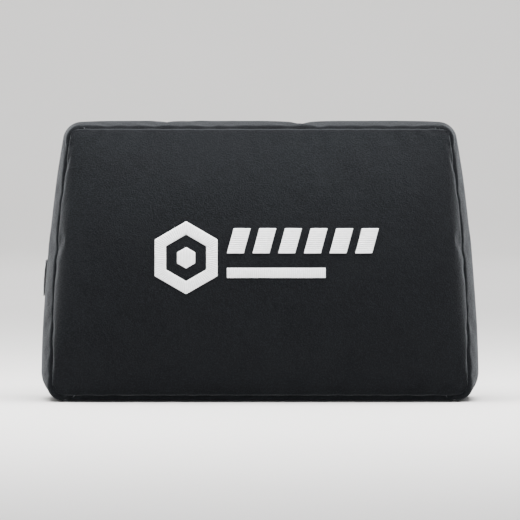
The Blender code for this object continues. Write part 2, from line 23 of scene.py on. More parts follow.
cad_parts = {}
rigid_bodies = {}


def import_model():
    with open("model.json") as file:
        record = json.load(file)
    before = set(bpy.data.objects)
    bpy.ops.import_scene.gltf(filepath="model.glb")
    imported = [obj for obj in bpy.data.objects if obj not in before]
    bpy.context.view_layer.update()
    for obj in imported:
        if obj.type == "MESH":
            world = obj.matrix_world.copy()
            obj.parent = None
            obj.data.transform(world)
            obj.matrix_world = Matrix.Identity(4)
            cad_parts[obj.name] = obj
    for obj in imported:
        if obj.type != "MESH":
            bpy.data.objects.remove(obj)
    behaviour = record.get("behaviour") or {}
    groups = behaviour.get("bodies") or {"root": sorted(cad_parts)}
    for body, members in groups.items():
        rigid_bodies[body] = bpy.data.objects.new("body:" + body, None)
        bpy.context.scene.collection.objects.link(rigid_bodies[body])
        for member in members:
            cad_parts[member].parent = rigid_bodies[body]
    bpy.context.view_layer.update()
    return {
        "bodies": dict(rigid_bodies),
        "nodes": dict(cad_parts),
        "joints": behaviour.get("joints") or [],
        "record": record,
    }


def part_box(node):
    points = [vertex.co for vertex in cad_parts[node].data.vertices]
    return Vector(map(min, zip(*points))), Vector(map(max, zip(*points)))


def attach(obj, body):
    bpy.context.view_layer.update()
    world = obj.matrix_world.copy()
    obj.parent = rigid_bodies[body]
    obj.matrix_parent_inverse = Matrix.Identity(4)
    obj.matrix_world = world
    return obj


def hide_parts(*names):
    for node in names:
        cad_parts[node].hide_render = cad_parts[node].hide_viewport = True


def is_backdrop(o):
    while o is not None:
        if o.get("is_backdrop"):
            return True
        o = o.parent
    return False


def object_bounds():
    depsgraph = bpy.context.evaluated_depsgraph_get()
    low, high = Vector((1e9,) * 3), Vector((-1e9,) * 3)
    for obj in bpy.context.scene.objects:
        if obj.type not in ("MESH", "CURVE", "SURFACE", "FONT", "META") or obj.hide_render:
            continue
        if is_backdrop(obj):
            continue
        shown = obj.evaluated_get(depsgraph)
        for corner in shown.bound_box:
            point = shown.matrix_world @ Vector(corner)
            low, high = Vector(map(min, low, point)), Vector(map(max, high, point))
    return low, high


MM = 0.001
CUSHION = "cushion"  # the CAD body that every new piece rides on

log = logging.getLogger("lumbar_cushion")


class Slot(Enum):
    """The record's material slots that new pieces use."""

    FOAM = "foam"
    LINER = "liner_knit"
    FACE = "face_velour"
    GUSSET = "gusset_velour"
    BACK = "back_cloth"
    TAPE = "zip_tape"
    COIL = "zip_coil"
    THREAD = "stitch_thread"
    LABEL = "label_satin"


# Helpers for materials


def linear(colour: str) -> tuple[float, float, float, float]:
    """Turns an sRGB hex colour to linear light.

    Args:
        colour: six hex digits, with or without a leading hash.

    Returns:
        Red, green, blue and an alpha of 1.
    """
    digits = colour.lstrip("#")
    shares = [int(digits[k : k + 2], 16) / 255 for k in (0, 2, 4)]
    red, green, blue = [c / 12.92 if c <= 0.04045 else ((c + 0.055) / 1.055) ** 2.4 for c in shares]
    return (red, green, blue, 1.0)


def add_node(
    tree: bpy.types.NodeTree,
    kind: str,
    settings: dict[Any, Any] | None = None,
    links: dict[Any, bpy.types.NodeSocket] | None = None,
) -> bpy.types.Node:
    """Adds one node to a material.

    Args:
        tree: the material's node tree.
        kind: the node's type, without its ShaderNode prefix.
        settings: values by the name of a node property, or else of an input (or its number).
        links: the sockets that feed the node's inputs, by the input's name or number.

    Returns:
        The new node.
    """
    node = tree.nodes.new("ShaderNode" + kind)
    for key, value in (settings or {}).items():
        if isinstance(key, str) and key in node.bl_rna.properties:
            setattr(node, key, value)
        else:
            node.inputs[key].default_value = value
    for key, socket in (links or {}).items():
        tree.links.new(socket, node.inputs[key])
    return node


@dataclass(frozen=True)
class Finish:
    """One material: what it is called, its colour, and how glossy it is.

    Attributes:
        name: what the real material is.
        colour: its sRGB colour.
        roughness: its roughness, from 0 to 1.
        metallic: 1 for bare metal, else 0.
        ior: its refractive index.
    """

    name: str = "plain"
    colour: str = "#808080"
    roughness: float = 0.5
    metallic: float = 0.0
    ior: float = 1.5

    def make(self) -> bpy.types.Material:
        """Builds the material.

        Returns:
            The finished material.
        """
        material = bpy.data.materials.new(self.name)
        material.use_nodes = True
        tree = material.node_tree
        shader = tree.nodes["Principled BSDF"]
        shader.inputs["Base Color"].default_value = linear(self.colour)
        shader.inputs["Roughness"].default_value = self.roughness
        shader.inputs["Metallic"].default_value = self.metallic
        shader.inputs["IOR"].default_value = self.ior
        material.diffuse_color = linear(self.colour)
        self.detail(tree, shader)
        return material

    def detail(self, tree: bpy.types.NodeTree, shader: bpy.types.Node) -> None:
        """Adds the finish's own nodes; a plain finish has none."""

    def mottle(
        self, tree: bpy.types.NodeTree, shader: bpy.types.Node, other: str, size: float, share: float
    ) -> None:
        """Varies the colour softly over the surface.

        Args:
            tree: the material's node tree.
            shader: its Principled node.
            other: the second sRGB colour.
            size: the patches' size in metres.
            share: how far the second colour takes over, from 0 to 1.
        """
        place = add_node(tree, "TexCoord")
        patches = add_node(
            tree,
            "TexNoise",
            {"Scale": 1 / size, "Detail": 3.0, "Roughness": 0.55},
            {"Vector": place.outputs["Object"]},
        )
        spread = add_node(
            tree,
            "MapRange",
            {"From Min": 0.3, "From Max": 0.7, "To Max": share},
            {"Value": patches.outputs["Fac"]},
        )
        mixed = add_node(
            tree,
            "Mix",
            {"data_type": "RGBA", 6: linear(self.colour), 7: linear(other)},
            {"Factor": spread.outputs["Result"]},
        )
        tree.links.new(mixed.outputs[2], shader.inputs["Base Color"])


@dataclass(frozen=True)
class CutPileVelour(Finish):
    """Short cut-pile polyester velour: a soft, dull black that lightens where it is lit at a slant.

    Attributes:
        nap: the second colour, where the pile lies the other way.
        tip_glints: the painted glints' colour, lighter, which single tufts take at random as if their ends
            faced the light.
        nap_size: the size of those brushed patches.
        pile_size: the width of one tuft. Real tufts are 0.3 mm wide; 1.1 mm is the finest that shows.
        pile_height: how far the tufts stand proud.
        sheen: how strongly the pile's ends catch the light.
        sheen_colour: the colour of the pile's ends in that sheen.
    """

    nap: str = "#0a0c0e"
    # painted glints: a lighter colour that single tufts take at random, as if their ends caught the light
    tip_glints: str = "#1c1e21"
    nap_size: float = 34 * MM
    pile_size: float = 1.1 * MM
    pile_height: float = 0.5 * MM
    sheen: float = 0.19
    sheen_colour: str = "#c9cdd2"

    def detail(self, tree: bpy.types.NodeTree, shader: bpy.types.Node) -> None:
        """Adds brushed patches, tufts, a painted glint speckle over them, and sheen."""
        self.mottle(tree, shader, self.nap, self.nap_size, 0.8)
        place = add_node(tree, "TexCoord")
        tufts = add_node(
            tree,
            "TexNoise",
            {"Scale": 1 / self.pile_size, "Detail": 4.0, "Roughness": 0.65},
            {"Vector": place.outputs["Object"]},
        )
        # painted glints: where the tuft noise is high, the colour lightens towards the glint colour
        tip_glints = add_node(
            tree,
            "MapRange",
            {"From Min": 0.45, "From Max": 0.65, "To Max": 0.6},
            {"Value": tufts.outputs["Fac"]},
        )
        brushed = shader.inputs["Base Color"].links[0].from_socket
        glint_speckled = add_node(
            tree,
            "Mix",
            {"data_type": "RGBA", 7: linear(self.tip_glints)},
            {"Factor": tip_glints.outputs["Result"], 6: brushed},
        )
        tree.links.new(glint_speckled.outputs[2], shader.inputs["Base Color"])
        ripples = add_node(
            tree,
            "TexNoise",
            {"Scale": 0.12 / self.pile_size, "Detail": 2.0},
            {"Vector": place.outputs["Object"]},
        )
        height = add_node(
            tree,
            "Math",
            {"operation": "MULTIPLY_ADD", 1: 0.8},
            {0: ripples.outputs["Fac"], 2: tufts.outputs["Fac"]},
        )
        bump = add_node(
            tree,
            "Bump",
            {"Strength": 0.85, "Distance": self.pile_height},
            {"Height": height.outputs["Value"]},
        )
        tree.links.new(bump.outputs["Normal"], shader.inputs["Normal"])
        shader.inputs["Specular IOR Level"].default_value = 0.08
        shader.inputs["Sheen Weight"].default_value = self.sheen
        shader.inputs["Sheen Roughness"].default_value = 0.45
        shader.inputs["Sheen Tint"].default_value = linear(self.sheen_colour)


@dataclass(frozen=True)
class WovenCloth(Finish):
    """Plain-woven polyester, as a back cloth or a zip's tape: fine crossing yarns with a faint lustre.

    Attributes:
        other: the second colour of its soft variation.
        between: the painted shade in the gaps between its yarns, a darker colour where they dip.
        yarn: the yarns' pitch. Real ones lie 0.4 mm apart; they are drawn as coarse as it takes to show.
        relief: how far the yarns stand proud.
    """

    other: str = "#232427"
    # painted shade: the darker colour that the gaps between the yarns are painted
    between: str = "#060607"
    yarn: float = 1.7 * MM
    relief: float = 0.35 * MM

    def detail(self, tree: bpy.types.NodeTree, shader: bpy.types.Node) -> None:
        """Adds crossing yarns, whose two directions rise in turn, painted shade in the gaps between them,
        and a light sheen.
        """
        self.mottle(tree, shader, self.other, 60 * MM, 0.7)
        place = add_node(tree, "TexCoord")
        parts = add_node(tree, "SeparateXYZ", {}, {"Vector": place.outputs["Object"]})
        waves = []
        for axis in ("X", "Z"):
            turn = add_node(
                tree,
                "Math",
                {"operation": "MULTIPLY", 1: math.pi / self.yarn},
                {0: parts.outputs[axis]},
            )
            waves.append(add_node(tree, "Math", {"operation": "SINE"}, {0: turn.outputs["Value"]}))
        crossing = add_node(
            tree,
            "Math",
            {"operation": "MULTIPLY"},
            {0: waves[0].outputs["Value"], 1: waves[1].outputs["Value"]},
        )
        # painted shade: where the yarns dip between each other, the colour darkens towards the gap colour
        depth = add_node(
            tree,
            "MapRange",
            {"From Min": 0.2, "From Max": -0.8, "To Max": 0.75},
            {"Value": crossing.outputs["Value"]},
        )
        plain = shader.inputs["Base Color"].links[0].from_socket
        woven = add_node(
            tree,
            "Mix",
            {"data_type": "RGBA", 7: linear(self.between)},
            {"Factor": depth.outputs["Result"], 6: plain},
        )
        tree.links.new(woven.outputs[2], shader.inputs["Base Color"])
        fibre = add_node(
            tree,
            "TexNoise",
            {"Scale": 1 / (0.7 * self.yarn), "Detail": 2.0},
            {"Vector": place.outputs["Object"]},
        )
        height = add_node(
            tree,
            "Math",
            {"operation": "MULTIPLY_ADD", 1: 0.5},
            {0: crossing.outputs["Value"], 2: fibre.outputs["Fac"]},
        )
        bump = add_node(
            tree,
            "Bump",
            {"Strength": 0.8, "Distance": self.relief},
            {"Height": height.outputs["Value"]},
        )
        tree.links.new(bump.outputs["Normal"], shader.inputs["Normal"])
        shader.inputs["Specular IOR Level"].default_value = 0.25
        shader.inputs["Sheen Weight"].default_value = 0.12
        shader.inputs["Sheen Roughness"].default_value = 0.5


@dataclass(frozen=True)
class WeftKnit(Finish):
    """Thin weft-knitted polyester liner: rows of small loops.

    Attributes:
        loop: the loops' pitch, 1.5 mm on such a liner.
        relief: how far the loops stand proud.
    """

    loop: float = 1.5 * MM
    relief: float = 0.3 * MM

    def detail(self, tree: bpy.types.NodeTree, shader: bpy.types.Node) -> None:
        """Adds the rows of loops."""
        self.mottle(tree, shader, "#a9a9ab", 45 * MM, 0.6)
        place = add_node(tree, "TexCoord")
        loops = add_node(
            tree,
            "TexVoronoi",
            {"Scale": 1 / self.loop, "Randomness": 0.25},
            {"Vector": place.outputs["Object"]},
        )
        bump = add_node(
            tree,
            "Bump",
            {"Strength": 0.7, "Distance": self.relief, "invert": True},
            {"Height": loops.outputs["Distance"]},
        )
        tree.links.new(bump.outputs["Normal"], shader.inputs["Normal"])
        shader.inputs["Sheen Weight"].default_value = 0.2


@dataclass(frozen=True)
class MouldedFoam(Finish):
    """Moulded polyurethane foam: a cream skin with small open cells, browner where it has aged.

    Attributes:
        cell: the cells' size, about 0.8 mm, drawn as 1.6 mm so that they show.
        depth: how deep the open cells are.
    """

    cell: float = 1.6 * MM
    depth: float = 0.5 * MM

    def detail(self, tree: bpy.types.NodeTree, shader: bpy.types.Node) -> None:
        """Adds open cells and aged patches."""
        self.mottle(tree, shader, "#d9c486", 70 * MM, 0.6)
        place = add_node(tree, "TexCoord")
        cells = add_node(
            tree,
            "TexVoronoi",
            {"feature": "SMOOTH_F1", "Scale": 1 / self.cell, "Smoothness": 0.4},
            {"Vector": place.outputs["Object"]},
        )
        bump = add_node(
            tree,
            "Bump",
            {"Strength": 0.6, "Distance": self.depth},
            {"Height": cells.outputs["Distance"]},
        )
        tree.links.new(bump.outputs["Normal"], shader.inputs["Normal"])
        shader.inputs["Specular IOR Level"].default_value = 0.2


@dataclass(frozen=True)
class MouldedNylon(Finish):
    """Extruded nylon monofilament, as in a coil zip: smooth, with a satin gloss and faint scuffs."""

    def detail(self, tree: bpy.types.NodeTree, shader: bpy.types.Node) -> None:
        """Adds scuffs that dull the gloss in places."""
        self.mottle(tree, shader, "#2c2c2e", 8 * MM, 0.6)
        place = add_node(tree, "TexCoord")
        scuffs = add_node(
            tree,
            "TexNoise",
            {"Scale": 1 / (1.2 * MM), "Detail": 3.0},
            {"Vector": place.outputs["Object"]},
        )
        dull = add_node(
            tree,
            "MapRange",
            {"To Min": self.roughness - 0.06, "To Max": self.roughness + 0.14},
            {"Value": scuffs.outputs["Fac"]},
        )
        tree.links.new(dull.outputs["Result"], shader.inputs["Roughness"])


@dataclass(frozen=True)
class LacqueredZinc(Finish):
    """Die-cast zinc under black lacquer: a thin, even gloss, with the lacquer rubbed here and there.

    Attributes:
        rubbed: the lacquer's colour where it has worn thin.
        scratch: the size of the scratches.
    """

    rubbed: str = "#242426"
    scratch: float = 1.4 * MM

    def detail(self, tree: bpy.types.NodeTree, shader: bpy.types.Node) -> None:
        """Adds rubbed patches, scratches and a coat of lacquer."""
        place = add_node(tree, "TexCoord")
        patches = add_node(
            tree,
            "TexNoise",
            {"Scale": 1 / (1.2 * MM), "Detail": 5.0, "Roughness": 0.7},
            {"Vector": place.outputs["Object"]},
        )
        worn = add_node(
            tree,
            "MapRange",
            {"From Min": 0.5, "From Max": 0.85, "To Max": 0.6},
            {"Value": patches.outputs["Fac"]},
        )
        mixed = add_node(
            tree,
            "Mix",
            {"data_type": "RGBA", 6: linear(self.colour), 7: linear(self.rubbed)},
            {"Factor": worn.outputs["Result"]},
        )
        tree.links.new(mixed.outputs[2], shader.inputs["Base Color"])
        stretched = add_node(
            tree,
            "Mapping",
            {"Scale": (0.2, 1.0, 1.0)},
            {"Vector": place.outputs["Object"]},
        )
        lines = add_node(
            tree,
            "TexNoise",
            {"Scale": 1 / self.scratch * 3, "Detail": 2.0},
            {"Vector": stretched.outputs["Vector"]},
        )
        bump = add_node(
            tree,
            "Bump",
            {"Strength": 0.25, "Distance": 0.05 * MM},
            {"Height": lines.outputs["Fac"]},
        )
        tree.links.new(bump.outputs["Normal"], shader.inputs["Normal"])
        shader.inputs["Specular IOR Level"].default_value = 0.4
        shader.inputs["Coat Weight"].default_value = 0.15
        shader.inputs["Coat Roughness"].default_value = 0.3


@dataclass(frozen=True)
class RayonThread(Finish):
    """Rayon embroidery thread: a bright, silky white whose strands catch the light.

    Attributes:
        strand: the strands' pitch inside one thread.
        shade: the second colour of its soft variation.
    """

    strand: float = 0.6 * MM
    shade: str = "#e2e3e4"

    def detail(self, tree: bpy.types.NodeTree, shader: bpy.types.Node) -> None:
        """Adds fine strands and a silky sheen."""
        self.mottle(tree, shader, self.shade, 4 * MM, 0.6)
        place = add_node(tree, "TexCoord")
        strands = add_node(
            tree,
            "TexNoise",
            {"Scale": 1 / self.strand, "Detail": 2.0},
            {"Vector": place.outputs["Object"]},
        )
        bump = add_node(
            tree,
            "Bump",
            {"Strength": 0.35, "Distance": 0.12 * MM},
            {"Height": strands.outputs["Fac"]},
        )
        tree.links.new(bump.outputs["Normal"], shader.inputs["Normal"])
        shader.inputs["Sheen Weight"].default_value = 0.25
        shader.inputs["Sheen Roughness"].default_value = 0.3


@dataclass(frozen=True)
class StudioPaper(Finish):
    """Pale seamless paper: matt, with a hardly visible tooth."""

    def detail(self, tree: bpy.types.NodeTree, shader: bpy.types.Node) -> None:
        """Adds the paper's soft variation."""
        self.mottle(tree, shader, "#e2e0dd", 0.5, 0.5)
        shader.inputs["Specular IOR Level"].default_value = 0.2


VELOUR_BLACK = CutPileVelour("cut-pile polyester velour, black", "#060709", 0.9)
BACK_CLOTH = WovenCloth("woven polyester back cloth, black", "#17181a", 0.82)
ZIP_TAPE = WovenCloth("woven polyester zip tape, black", "#121214", 0.8, yarn=0.9 * MM)
LINER_KNIT = WeftKnit("weft-knitted polyester liner, grey", "#b6b6b8", 0.9)
FOAM = MouldedFoam("moulded polyurethane foam, cream", "#e8dcc0", 0.92)
NYLON_COIL = MouldedNylon("nylon monofilament coil, black", "#161617", 0.35, ior=1.53)
ZINC_LACQUER = LacqueredZinc("die-cast zinc, black lacquer", "#0b0b0c", 0.46)
SATIN_STITCH = RayonThread("rayon satin-stitch thread, white", "#f8f8f9", 0.42)
SEWING_THREAD = RayonThread("polyester sewing thread, black", "#1e1f21", 0.5, shade="#2e3033")
LABEL_SATIN = RayonThread("woven satin label, white", "#dedfe0", 0.5, strand=0.8 * MM)
SEAMLESS_PAPER = StudioPaper("seamless studio paper, pale grey", "#e8e6e4", 0.85)


# Helpers for meshes


def unit(vectors: np.ndarray) -> np.ndarray:
    """Scales vectors to a length of 1 along their last axis."""
    return vectors / np.maximum(np.linalg.norm(vectors, axis=-1, keepdims=True), 1e-12)


def refined(samples: np.ndarray, factor: int, axis: int, wrap: bool) -> np.ndarray:
    """Puts smoothly curved samples between those of a grid.

    Args:
        samples: the grid.
        factor: how many steps each step becomes.
        axis: the axis to refine.
        wrap: whether the grid closes on itself along that axis.

    Returns:
        The finer grid, which passes through the old samples.
    """
    rows = np.moveaxis(samples, axis, 0)
    if wrap:
        padded = np.concatenate([rows[-1:], rows, rows[:2]])
        count = len(rows)
    else:
        padded = np.concatenate([2 * rows[:1] - rows[1:2], rows, 2 * rows[-1:] - rows[-2:-1]])
        count = len(rows) - 1
    before, here, after, beyond = (padded[k : k + count] for k in range(4))
    steps = []
    for k in range(factor):
        t = k / factor
        steps.append(
            here
            + (after - before) * (t / 2)
            + (2 * before - 5 * here + 4 * after - beyond) * (t * t / 2)
            + (3 * here - before - 3 * after + beyond) * (t**3 / 2)
        )
    finer = np.stack(steps, axis=1).reshape(count * factor, *rows.shape[1:])
    if not wrap:
        finer = np.concatenate([finer, rows[-1:]])
    return np.moveaxis(finer, 0, axis)


def grid_normals(grid: np.ndarray, wrap: bool, middle: Sequence[float]) -> np.ndarray:
    """Outward unit normals of a grid of points.

    Args:
        grid: points, as (rows, columns, 3).
        wrap: whether its rows close on themselves.
        middle: a point inside the surface.

    Returns:
        One normal for each point.
    """
    source = np.concatenate([grid[-1:], grid, grid[:1]]) if wrap else grid
    normals = unit(np.cross(np.gradient(source, axis=0), np.gradient(source, axis=1)))
    normals = normals[1:-1] if wrap else normals
    inside = (normals * (grid - np.array(middle))).sum() < 0
    return -normals if inside else normals


def from_edges(grid: np.ndarray, sides: Sequence[bool]) -> np.ndarray:
    """Distance along the grid's lines from the nearest of its chosen edges.

    Args:
        grid: points, as (rows, columns, 3).
        sides: whether the first row, last row, first column and last column count.

    Returns:
        One distance for each point.
    """
    nearest = np.full(grid.shape[:2], 1.0)
    for axis in (0, 1):
        steps = np.linalg.norm(np.diff(grid, axis=axis), axis=-1)
        start = np.zeros_like(np.take(steps, [0], axis=axis))
        along = np.concatenate([start, np.cumsum(steps, axis=axis)], axis=axis)
        if sides[2 * axis]:
            nearest = np.minimum(nearest, along)
        if sides[2 * axis + 1]:
            nearest = np.minimum(nearest, np.take(along, [-1], axis=axis) - along)
    return nearest


def edge_loop(grid: np.ndarray) -> np.ndarray:
    """A grid's edge points: along its base, up its right side, back along its top and down its left."""
    return np.concatenate([grid[:-1, 0], grid[-1, :-1], grid[:0:-1, -1], grid[0, :0:-1]])


def grid_faces(rows: int, columns: int, wrap: bool, start: int = 0) -> list[tuple[int, ...]]:
    """Quads over a grid of points that are numbered row by row.

    Args:
        rows: how many rows.
        columns: how many points in each.
        wrap: whether the last row joins the first.
        start: the number of its first point.

    Returns:
        The quads' point numbers.
    """
    quads = []
    for i in range(rows if wrap else rows - 1):
        here, there = start + i * columns, start + (i + 1) % rows * columns
        quads += [(here + j, there + j, there + j + 1, here + j + 1) for j in range(columns - 1)]
    return quads


def link_mesh(name: str, points: np.ndarray, faces: list[tuple[int, ...]]) -> bpy.types.Object:
    """Makes a mesh object.

    Args:
        name: the piece's name.
        points: its points, as (count, 3).
        faces: their numbers, face by face.

    Returns:
        The new object.
    """
    data = bpy.data.meshes.new(name)
    data.from_pydata(points.reshape(-1, 3).tolist(), [], faces)
    data.update()
    made = bpy.data.objects.new(name, data)
    bpy.context.scene.collection.objects.link(made)
    return made


def tidy_mesh(made: bpy.types.Object, weld: float = 0.0, sharp: float = 50.0) -> bpy.types.Object:
    """Welds a closed mesh, turns its faces outwards and shades it smooth.

    Args:
        made: the piece.
        weld: points closer than this become one.
        sharp: edges that bend by more than this angle, in degrees, stay sharp.

    Returns:
        The same piece.
    """
    mesh = bmesh.new()
    mesh.from_mesh(made.data)
    if weld:
        bmesh.ops.remove_doubles(mesh, verts=mesh.verts, dist=weld)
    bmesh.ops.recalc_face_normals(mesh, faces=mesh.faces)
    if mesh.calc_volume(signed=True) < 0:
        bmesh.ops.reverse_faces(mesh, faces=mesh.faces)
    mesh.to_mesh(made.data)
    mesh.free()
    made.data.shade_smooth()
    made.data.set_sharp_from_angle(angle=math.radians(sharp))
    return made


def shell(
    name: str, outer: np.ndarray, inner: np.ndarray, wrap: bool = False, sharp: float = 50.0
) -> bpy.types.Object:
    """A closed piece between two grids of as many points, joined round their open edges.

    Args:
        name: the piece's name.
        outer: the outside, as (rows, columns, 3).
        inner: the inside, alike.
        wrap: whether the rows close on themselves.
        sharp: edges that bend by more than this, in degrees, stay sharp.

    Returns:
        The piece.
    """
    rows, columns = outer.shape[:2]
    count = rows * columns
    faces = grid_faces(rows, columns, wrap) + grid_faces(rows, columns, wrap, count)
    edges = []
    for i in range(rows if wrap else rows - 1):
        here, there = i * columns, (i + 1) % rows * columns
        edges += [(here, there), (here + columns - 1, there + columns - 1)]
    if not wrap:
        last = (rows - 1) * columns
        edges += [(j, j + 1) for j in range(columns - 1)]
        edges += [(last + j, last + j + 1) for j in range(columns - 1)]
    faces += [(a, b, b + count, a + count) for a, b in edges]
    points = np.concatenate([outer.reshape(-1, 3), inner.reshape(-1, 3)])
    return tidy_mesh(link_mesh(name, points, faces), sharp=sharp)


def tube_mesh(
    path: np.ndarray, radius: float, sides: int, start: int
) -> tuple[np.ndarray, list[tuple[int, ...]]]:
    """The points and faces of a round cord along a path, with its ends drawn in.

    Args:
        path: the points that it follows, as (count, 3).
        radius: its radius.
        sides: how many flats go round it.
        start: the number of its first point.

    Returns:
        Its points, and its faces' point numbers.
    """
    ahead = unit(np.gradient(path, axis=0))
    guide = np.array([0.0, 1.0, 0.0]) if abs(ahead[0][1]) < 0.9 else np.array([1.0, 0.0, 0.0])
    across = unit(guide - ahead * (ahead @ guide)[:, None])
    third = np.cross(ahead, across)
    turns = np.linspace(0, 2 * np.pi, sides, endpoint=False)
    sizes = np.full(len(path), radius)
    sizes[[0, -1]] *= 0.55
    ring = np.cos(turns)[None, :, None] * across[:, None] + np.sin(turns)[None, :, None] * third[:, None]
    points = (path[:, None] + ring * sizes[:, None, None]).reshape(-1, 3)
    faces: list[tuple[int, ...]] = []
    for i in range(len(path) - 1):
        here, there = start + i * sides, start + (i + 1) * sides
        for j in range(sides):
            after = (j + 1) % sides
            faces.append((here + j, here + after, there + after, there + j))
    last = start + (len(path) - 1) * sides
    faces += [tuple(range(start, start + sides)), tuple(range(last, last + sides))]
    return points, faces


def cords(name: str, paths: Sequence[np.ndarray], radius: float, sides: int = 8) -> bpy.types.Object:
    """One piece of several round cords.

    Args:
        name: the piece's name.
        paths: the points that each follows.
        radius: their radius.
        sides: how many flats go round them.

    Returns:
        The piece.
    """
    points: list[np.ndarray] = []
    faces: list[tuple[int, ...]] = []
    for path in paths:
        cord, quads = tube_mesh(path, radius, sides, sum(len(part) for part in points))
        points.append(cord)
        faces += quads
    return tidy_mesh(link_mesh(name, np.concatenate(points), faces), sharp=70.0)


def stitch_path(
    start: Sequence[float], end: Sequence[float], up: Sequence[float], rise: float
) -> np.ndarray:
    """One stitch, which dives into the cloth at both ends.

    Args:
        start: where it comes up.
        end: where it goes down.
        up: the cloth's outward direction.
        rise: how far its middle stands above its ends.

    Returns:
        Its path, as (7, 3).
    """
    share = np.linspace(0, 1, 7)[:, None]
    line = np.array(start) + (np.array(end) - np.array(start)) * share
    return line + np.array(up) * rise * (1 - np.abs(2 * share - 1) ** 3)


def dress(
    piece: bpy.types.Object, material: bpy.types.Material, slot: Slot, *nodes: str
) -> bpy.types.Object:
    """Gives a new piece its material, puts it on the cushion and lets it stand for CAD nodes.

    Args:
        piece: the piece.
        material: its material.
        slot: the record's material slot that its finish belongs to; not used.
        nodes: the CAD nodes that it replaces.

    Returns:
        The same piece.
    """
    piece.data.materials.clear()
    piece.data.materials.append(material)
    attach(piece, CUSHION)
    if nodes:
        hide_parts(*nodes)
    log.info("%s: %d faces, %s", piece.name, len(piece.data.polygons), material.name)
    return piece


def dress_node(node: bpy.types.Object, material: bpy.types.Material) -> None:
    """Gives a CAD node that stays a better material."""
    node.data.materials.clear()
    node.data.materials.append(material)
    log.info("%s: kept, %s", node.name, material.name)


@dataclass(frozen=True)
class Columns:
    """Places round the cushion's outline, each with its outward direction.

    Attributes:
        x, z: the places.
        out_x, out_z: the directions.
    """

    x: np.ndarray
    z: np.ndarray
    out_x: np.ndarray
    out_z: np.ndarray

    def outward(self) -> np.ndarray:
        """The outward directions, as (count, 3)."""
        return np.stack([self.out_x, np.zeros_like(self.out_x), self.out_z], axis=-1)


FLAT_POINTS, ARC_POINTS, SIDE_POINTS = 79, 60, 120  # of the dense outline: half its base, a corner, a side


